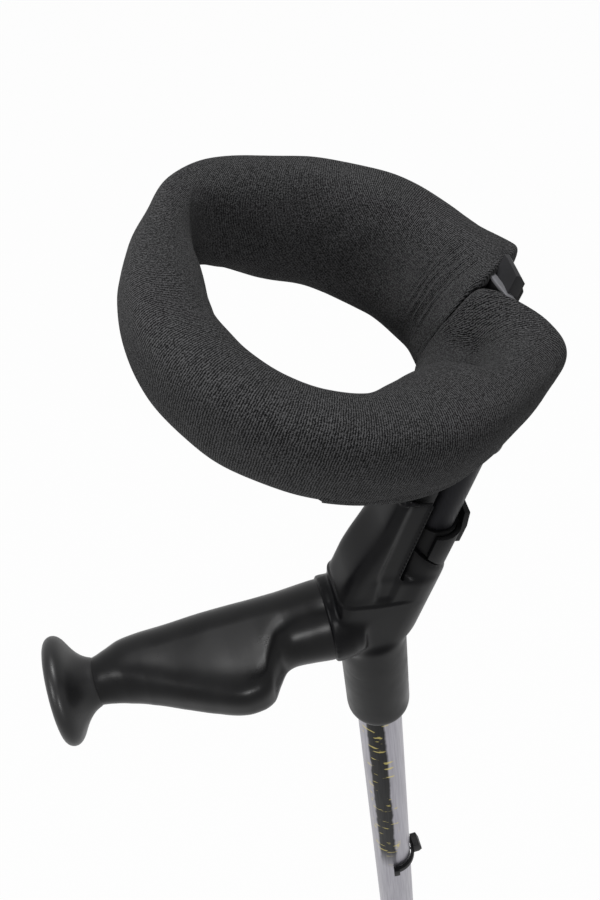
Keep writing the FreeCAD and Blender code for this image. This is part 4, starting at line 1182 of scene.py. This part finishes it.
@dataclass
class Handle:
    """Moulded nylon housing and arm, one blended form with a lapped seam. Sizes in mm."""

    arm: ArmFrame = ArmFrame()
    voxel: float = 0.75           # size of the fused skin's faces
    passes: int = 26              # of softening
    waist: float = 4.0            # the arm's front is drawn back by this
    waist_from: float = 60.0      # between these heights up the arm
    waist_to: float = 96.0
    skirt_radius: float = 15.4
    skirt_low: float = 806.0      # the skirt is carried up into a shoulder here
    skirt_high: float = 835.0
    flank_depth: float = 1.3      # hollow along each flank
    lap: float = 0.7              # the arm's skin lies this much inside the housing's at the seam
    joint: float = -20.9          # the grip's flange reaches from here
    flange_end: float = -6.0      # back to here
    flange_radii: tuple[float, float] = (19.9, 17.2)
    channel_front: float = -27.0  # the post's channel in the arm starts behind this
    channel_middle: float = -16.0                       # its middle is here
    channel_half: float = 11.3    # and it is this much wide to either side
    channel_floor: float = 51.0   # its floor's height up the arm
    shaft_bore: tuple[float, float] = (80.0, 11.1)      # length and radius, kept clear
    socket_bore: tuple[float, float] = (40.0, 9.6)
    socket_place: tuple[float, float, float] = (2.0, 0.0, 17.0)    # its middle, up the arm

    def build(self) -> None:
        """Fuse, soften and carve the handle."""
        skin = fused(("hub_housing", "arm_shell"), self.voxel, self.additions())
        skin.normal_update()
        for vert in skin.verts:
            self.fill_corner(vert)
        outside = [vert for vert in skin.verts if not self.inside(vert)]
        for vert in outside:
            self.turn_skirt(vert)
        soften(skin, self.passes, outside)
        for vert in skin.verts:
            self.draw_back(vert)
        skin.normal_update()
        self.carve(skin)
        make_piece("handle", skin, Body.CRUTCH, HOUSING, ("hub_housing", "arm_shell"), sharp=None)

    def additions(self) -> BMesh:
        """Return the skirt's shoulder round the shaft and the flange's slope behind the grip.

        Returns:
            The solids, with the bores kept clear.
        """
        bm = bmesh.new()
        middle = Matrix.Translation((0, 0, (self.skirt_high + self.skirt_low) / 2 * MM))
        add_cylinder(bm, middle, self.skirt_high - self.skirt_low, self.skirt_radius)
        shaft = Matrix.Translation((0, 0, self.arm.root * MM))
        socket = Matrix.Translation(self.arm.point(*self.socket_place)) \
            @ Matrix.Rotation(math.radians(self.arm.lean), 4, "Y")
        for place, size in ((shaft, self.shaft_bore), (socket, self.socket_bore)):
            bore = bmesh.new()
            add_cylinder(bore, place, *size)
            bm = cut_out(bm, bore)
        middle = Matrix.Translation(((self.flange_end + self.joint) / 2 * MM, 0, GRIP_HEIGHT * MM))
        add_cylinder(bm, middle @ Matrix.Rotation(math.pi / 2, 4, "Y"), self.flange_end - self.joint,
                     *self.flange_radii)
        return bm

    def in_channel(self, at: Vector, back: float) -> bool:
        """Say whether a place on the arm lies in the post's channel.

        Args:
            at: The place on the arm's axes.
            back: The channel's limit at its back, in millimetres.

        Returns:
            True in the channel.
        """
        return abs(at.y) < self.channel_half and self.channel_front < at.x < back \
            and at.z > self.channel_floor

    def fill_corner(self, vert: BMVert) -> None:
        """Draw the channel's front corners in, so that the softened skin keeps a wall there.

        Args:
            vert: A point of the skin.
        """
        at = self.arm.local(vert.co)
        inward = self.arm.point(self.channel_middle, 0.0, at.z) - vert.co
        if self.in_channel(at, -20.0) and vert.normal.dot(inward) > 0:
            share = smooth_step(-20.0, -25.0, at.x) * smooth_step(5.0, 10.0, abs(at.y))
            vert.co += inward.normalized() * 2.2 * share * MM

    def turn_skirt(self, vert: BMVert) -> None:
        """Draw what stands out from the skirt in to its round, below the shoulder."""
        keep = smooth_step(self.skirt_high - 7.0, self.skirt_high + 4.0, vert.co.z / MM)
        draw_in(vert, self.skirt_radius, keep)

    def inside(self, vert: BMVert) -> bool:
        """Say whether a point lies in the channel or in a bore, whose walls keep their size.

        Args:
            vert: A point of the skin.

        Returns:
            True where its place must stay.
        """
        at = self.arm.local(vert.co)
        inward = self.arm.point(self.channel_middle, 0.0, at.z) - vert.co
        rear = -8.0 if at.z < 58.0 else -9.8
        channel = self.in_channel(at, rear) and vert.normal.dot(inward.normalized()) > -0.2
        socket = at.z > -4.0 and math.hypot(at.x - self.socket_place[0], at.y) < 10.0
        shaft = vert.co.z < 0.836 and math.hypot(vert.co.x, vert.co.y) / MM < 11.8
        return channel or socket or shaft

    def draw_back(self, vert: BMVert) -> None:
        """Draw the arm's front back towards its axis above the housing.

        Args:
            vert: A point of the skin.
        """
        at = self.arm.local(vert.co)
        share = smooth_step(self.waist_from, self.waist_to, at.z) * smooth_step(-9.0, -21.0, at.x)
        vert.co = self.arm.point(at.x + self.waist * share, at.y, at.z)

    def carve(self, skin: BMesh) -> None:
        """Press the flanks' hollows and the seam's lap into the outer skin.

        Args:
            skin: The softened skin.
        """
        for vert in skin.verts:
            if not self.inside(vert):
                at = self.arm.local(vert.co)
                depth = self.flank(at, vert.normal) + self.seam(at, vert.co)
                vert.co -= vert.normal * depth * MM
        skin.normal_update()

    def flank(self, at: Vector, normal: Vector) -> float:
        """Return the hollow's depth at a place on the arm's flank.

        Args:
            at: A place on the arm's axes.
            normal: Which way the skin faces there.

        Returns:
            The depth in millimetres.
        """
        ridge = -21.0 + 3.0 * smooth_step(70.0, 46.0, at.z)
        across = smooth_step(ridge, ridge + 3.5, at.x) * smooth_step(-8.6, -11.0, at.x)
        along = smooth_step(46.5, 51.0, at.z)
        faces = smooth_step(0.55, 0.85, abs(normal.y))
        return self.flank_depth * across * along * faces

    def seam(self, at: Vector, place: Vector) -> float:
        """Return how far the arm's skin lies inside the housing's, just above the seam.

        Args:
            at: A place on the arm's axes.
            place: The same place in metres.

        Returns:
            The depth in millimetres.
        """
        line = 45.5 + 0.12 * max(0.0, at.x + 14.0)
        above = smooth_step(line, line + 0.9, at.z)
        behind_flange = max(smooth_step(-7.5, -6.0, place.x / MM),
                            smooth_step(870.5, 874.0, place.z / MM))
        before_cup = smooth_step(2.0, -6.0, at.x)
        return self.lap * above * behind_flange * before_cup


@dataclass
class Post:
    """The post that slides in the arm, drawn back at its front as the arm is. Sizes in mm."""

    arm: ArmFrame = ArmFrame()
    waist: float = 4.0
    head_top: float = 152.8       # what stands on the head keeps its place
    arm_top: float = 139.3        # the post's head stands above the arm from here
    half: float = 11.4            # in the arm it lies within this of its middle
    front: float = -27.3          # and behind this
    slim: float = 0.8             # its front is slimmer there, by this share
    slim_shift: float = 12.0      # and moves back by this much of what it loses
    rear: float = -7.9            # its rear lies before this
    rear_ease: float = 0.4        # and is drawn in by this
    rear_share: float = 0.95      # and to this share of its width
    rounding: float = 0.6

    def build(self) -> None:
        """Round and shift a copy of the CAD part."""
        bm = merged_copy("cuff_post")
        for vert in bm.verts:
            at = self.arm.local(vert.co)
            if at.z < self.head_top and at.x < -12.0:
                slim = self.slimmer(at)
                back = self.waist + self.slim_shift * (1 - slim)
                vert.co = self.arm.point(at.x + back, at.y * slim, at.z)
            elif at.z < self.arm_top and at.x < self.rear and abs(at.y) < self.half:
                vert.co = self.arm.point(at.x - self.rear_ease, at.y * self.rear_share, at.z)
        make_piece("post", round_edges(bm, self.rounding), Body.CARRIER, PLASTIC, ("cuff_post",), 50.0)

    def slimmer(self, at: Vector) -> float:
        """Return the width's share at a place: slim in the arm, full at the head."""
        in_arm = at.z < self.arm_top and abs(at.y) < self.half and at.x > self.front
        return self.slim if in_arm else 1.0


@dataclass(frozen=True)
class GripStation:
    """The grip's section at one reach from the shaft's axis, in millimetres."""

    reach: float
    near: float
    far: float
    top: float
    under: float
    shelf: float                  # 0 where the near side is round, 1 where it is a flat palm rest


@dataclass
class Grip:
    """Anatomic rubber grip with a palm rest on its near side. Sizes in mm."""

    stations: tuple[GripStation, ...] = tuple(GripStation(*row) for row in (
        (16.8, 17.6, 17.6, 17.6, 17.6, 0.0), (21.0, 18.0, 18.1, 17.9, 17.9, 0.0),
        (30.0, 17.3, 17.9, 16.9, 16.6, 0.0), (38.0, 16.9, 17.5, 16.1, 15.8, 0.1),
        (42.5, 18.6, 17.4, 15.9, 15.5, 0.4), (46.5, 24.0, 17.4, 15.7, 15.5, 0.8),
        (50.5, 30.2, 17.4, 15.5, 15.5, 1.0), (55.5, 32.8, 17.5, 15.4, 15.5, 1.0),
        (64.0, 33.0, 17.6, 15.2, 15.3, 1.0), (75.0, 29.0, 17.4, 15.0, 14.9, 0.95),
        (88.6, 22.6, 16.6, 14.5, 14.0, 0.8), (101.0, 16.6, 16.2, 14.4, 13.2, 0.5),
        (110.0, 13.2, 15.0, 13.8, 12.2, 0.2), (117.0, 11.2, 12.2, 12.0, 11.0, 0.0),
        (122.4, 10.3, 10.5, 10.3, 10.3, 0.0)))
    around: int = 96
    rings: int = 150
    edge: float = 0.52            # how square the palm rest's rim is above, where 1 is round
    under_edge: float = 0.85      # and below

    def build(self) -> None:
        """Draw the section along the grip and close its ends."""
        bm = bmesh.new()
        bmesh.ops.create_circle(bm, segments=self.around, radius=0.01)
        start, end = self.stations[0].reach, self.stations[-1].reach
        rim = bm.edges[:]
        turns = [math.tau * number / self.around for number in range(self.around)]
        rings = [bm.verts[:]]
        for _ in range(self.rings):
            made = bmesh.ops.extrude_edge_only(bm, edges=rim)["geom"]
            rim = [e for e in made if isinstance(e, BMEdge)]
            rings.append([v for v in made if isinstance(v, BMVert)])
        for number, ring in enumerate(rings):
            reach = start + (end - start) * number / self.rings
            for vert, turn in zip(ring, turns):
                vert.co = self.point(reach, turn)
        close_up(bm)
        make_piece("grip", bm, Body.CRUTCH, GRIP, ("hand_grip",), sharp=60.0)

    def point(self, reach: float, turn: float) -> Vector:
        """Return a place on the grip from its reach and the turn round its axis.

        Args:
            reach: Millimetres from the shaft's axis.
            turn: Radians round the section, from the far side over the top.

        Returns:
            The place in metres.
        """
        near, far, top, under, shelf = between(self.stations, "reach", reach,
                                               ("near", "far", "top", "under", "shelf"))
        side, up = math.cos(turn), math.sin(turn)
        square = self.edge if up > 0 else self.under_edge
        power = 1.0 - (1.0 - square) * max(0.0, min(1.0, shelf)) if side < 0 else 1.0
        across = signed_power(side, power) * (far if side > 0 else near)
        height = signed_power(up, power) * (top if up > 0 else under)
        return Vector((-reach, across, GRIP_HEIGHT + height)) * MM


@dataclass
class Knob:
    """Trumpet-shaped stop at the grip's outer end. Sizes in mm."""

    start: float = 121.4          # its neck's reach from the shaft's axis
    profile: tuple[tuple[float, float], ...] = (       # reach past the neck, radius
        (0.0, 10.4), (1.2, 10.7), (3.4, 11.6), (5.6, 13.2), (7.8, 15.6), (9.6, 18.4), (11.0, 20.9),
        (12.4, 22.7), (14.0, 23.8), (15.8, 24.1), (17.6, 23.5), (19.0, 22.0), (19.8, 19.6),
        (20.0, 16.5), (20.0, 8.0))
    steps: int = 96

    def build(self) -> None:
        """Spin the profile about the grip's axis."""
        bm = bmesh.new()
        verts = [bm.verts.new(Vector((-self.start - reach, 0, GRIP_HEIGHT + radius)) * MM)
                 for reach, radius in self.profile]
        edges = [bm.edges.new(pair) for pair in zip(verts, verts[1:])]
        axis = Vector((0, 0, GRIP_HEIGHT)) * MM
        bmesh.ops.spin(bm, geom=verts + edges, axis=(1, 0, 0), cent=axis, steps=self.steps,
                       angle=math.tau, use_merge=True)
        close_up(bm)
        make_finer(make_piece("knob", bm, Body.CRUTCH, KNOB, ("end_knob",), sharp=60.0))


@dataclass(frozen=True)
class Web:
    """A bar of the bracket's moulded web, which crosses the gap at the back. Sizes in mm."""

    name: str
    finish: Finish
    bottom: float                 # heights along the cuff's axis
    top: float
    cuff: CuffFrame = CuffFrame()
    first: tuple[float, float] = (53.6, 9.0)       # its middle line: back from the axis, across
    last: tuple[float, float] = (57.4, -9.0)
    thickness: float = 2.6

    def build(self) -> None:
        """Stand a bar between its two ends."""
        bm = bmesh.new()
        bmesh.ops.create_cube(bm, size=1.0)
        for vert in bm.verts:
            share = vert.co.x + 0.5
            back = self.first[0] + (self.last[0] - self.first[0]) * share \
                + self.thickness * vert.co.y
            across = self.first[1] + (self.last[1] - self.first[1]) * share
            height = self.bottom + (self.top - self.bottom) * (vert.co.z + 0.5)
            angle = math.degrees(math.atan2(across, back))
            vert.co = self.cuff.point(math.hypot(back, across), angle, height)
        bmesh.ops.recalc_face_normals(bm, faces=bm.faces)
        make_piece(self.name, round_edges(bm, 0.4, 40.0), Body.CUFF, self.finish, (), 50.0)


@dataclass
class Rivet:
    """Countersunk rivet, dressed flush with the tube after setting. Sizes in mm."""

    flush: float = 11.15          # radius of the tube, and a hair more

    def build(self) -> None:
        """Draw a copy of the CAD part in to the tube's round."""
        bm = merged_copy("tube_rivet")
        for vert in bm.verts:
            draw_in(vert, self.flush)
        make_piece("rivet", bm, Body.CRUTCH, BLACKENED, ("tube_rivet",), 40.0)


@dataclass(frozen=True)
class RoundedPart:
    """A moulded part whose edges are rounded as they leave the mould. Sizes in mm."""

    node: str
    body: Body
    finish: Finish
    width: float
    angle: float = 30.0
    segments: int = 3

    def build(self) -> None:
        """Round the edges of a copy of the CAD part and stand it in its place."""
        bm = round_edges(merged_copy(self.node), self.width, self.angle, self.segments)
        make_piece(self.node + "_rounded", bm, self.body, self.finish, (self.node,), sharp=50.0)


# ---------------------------------------------------------------- the crutch


def main() -> None:
    """Build the sub-assemblies in order, then the studio."""
    logging.basicConfig(level=logging.INFO, format="%(name)s %(message)s")
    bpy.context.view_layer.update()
    finishes = {f.slot: f for f in (HOUSING, PLASTIC, CORE, GREY, GRIP, FOOT, TUBE, BARE, ROD, STEEL,
                                    KNIT, FOAM)}
    for part in frame["record"]["subparts"]:
        dress(part["node"], finishes[part["material_slot"]])
    dress("tube_rivet", BLACKENED)
    Rivet().build()
    # the web's bar below its edge is drawn in black plastic as painted shade, for the shadow on the grey
    # web's face in the gap
    Web("web", PLASTIC, -6.0, 21.4).build()
    # a thin pale bar along the web's top: a painted highlight on its edge
    Web("web_edge_painted_highlight", WEB_EDGE_PAINTED_HIGHLIGHT, 21.2, 22.6).build()
    sleeve = Sleeve()
    sleeve.build()
    Flap(sleeve).build()
    Band(sleeve.place).build()
    Handle().build()
    Post().build()
    Grip().build()
    Knob().build()
    for part in (RoundedPart("shaft_clip", Body.SHAFT_CLIP, PLASTIC, 0.5),
                 RoundedPart("cuff_clip", Body.CUFF_CLIP, PLASTIC, 0.6),
                 RoundedPart("cuff_bracket", Body.CUFF, GREY, 0.8),
                 RoundedPart("bracket_lock", Body.CUFF, PLASTIC, 0.6),
                 RoundedPart("tube_collar", Body.CRUTCH, PLASTIC, 0.6),
                 RoundedPart("socket_liner", Body.CRUTCH, PLASTIC, 0.4)):
        part.build()
    Studio().build()


if __name__ == "__main__":
    main()
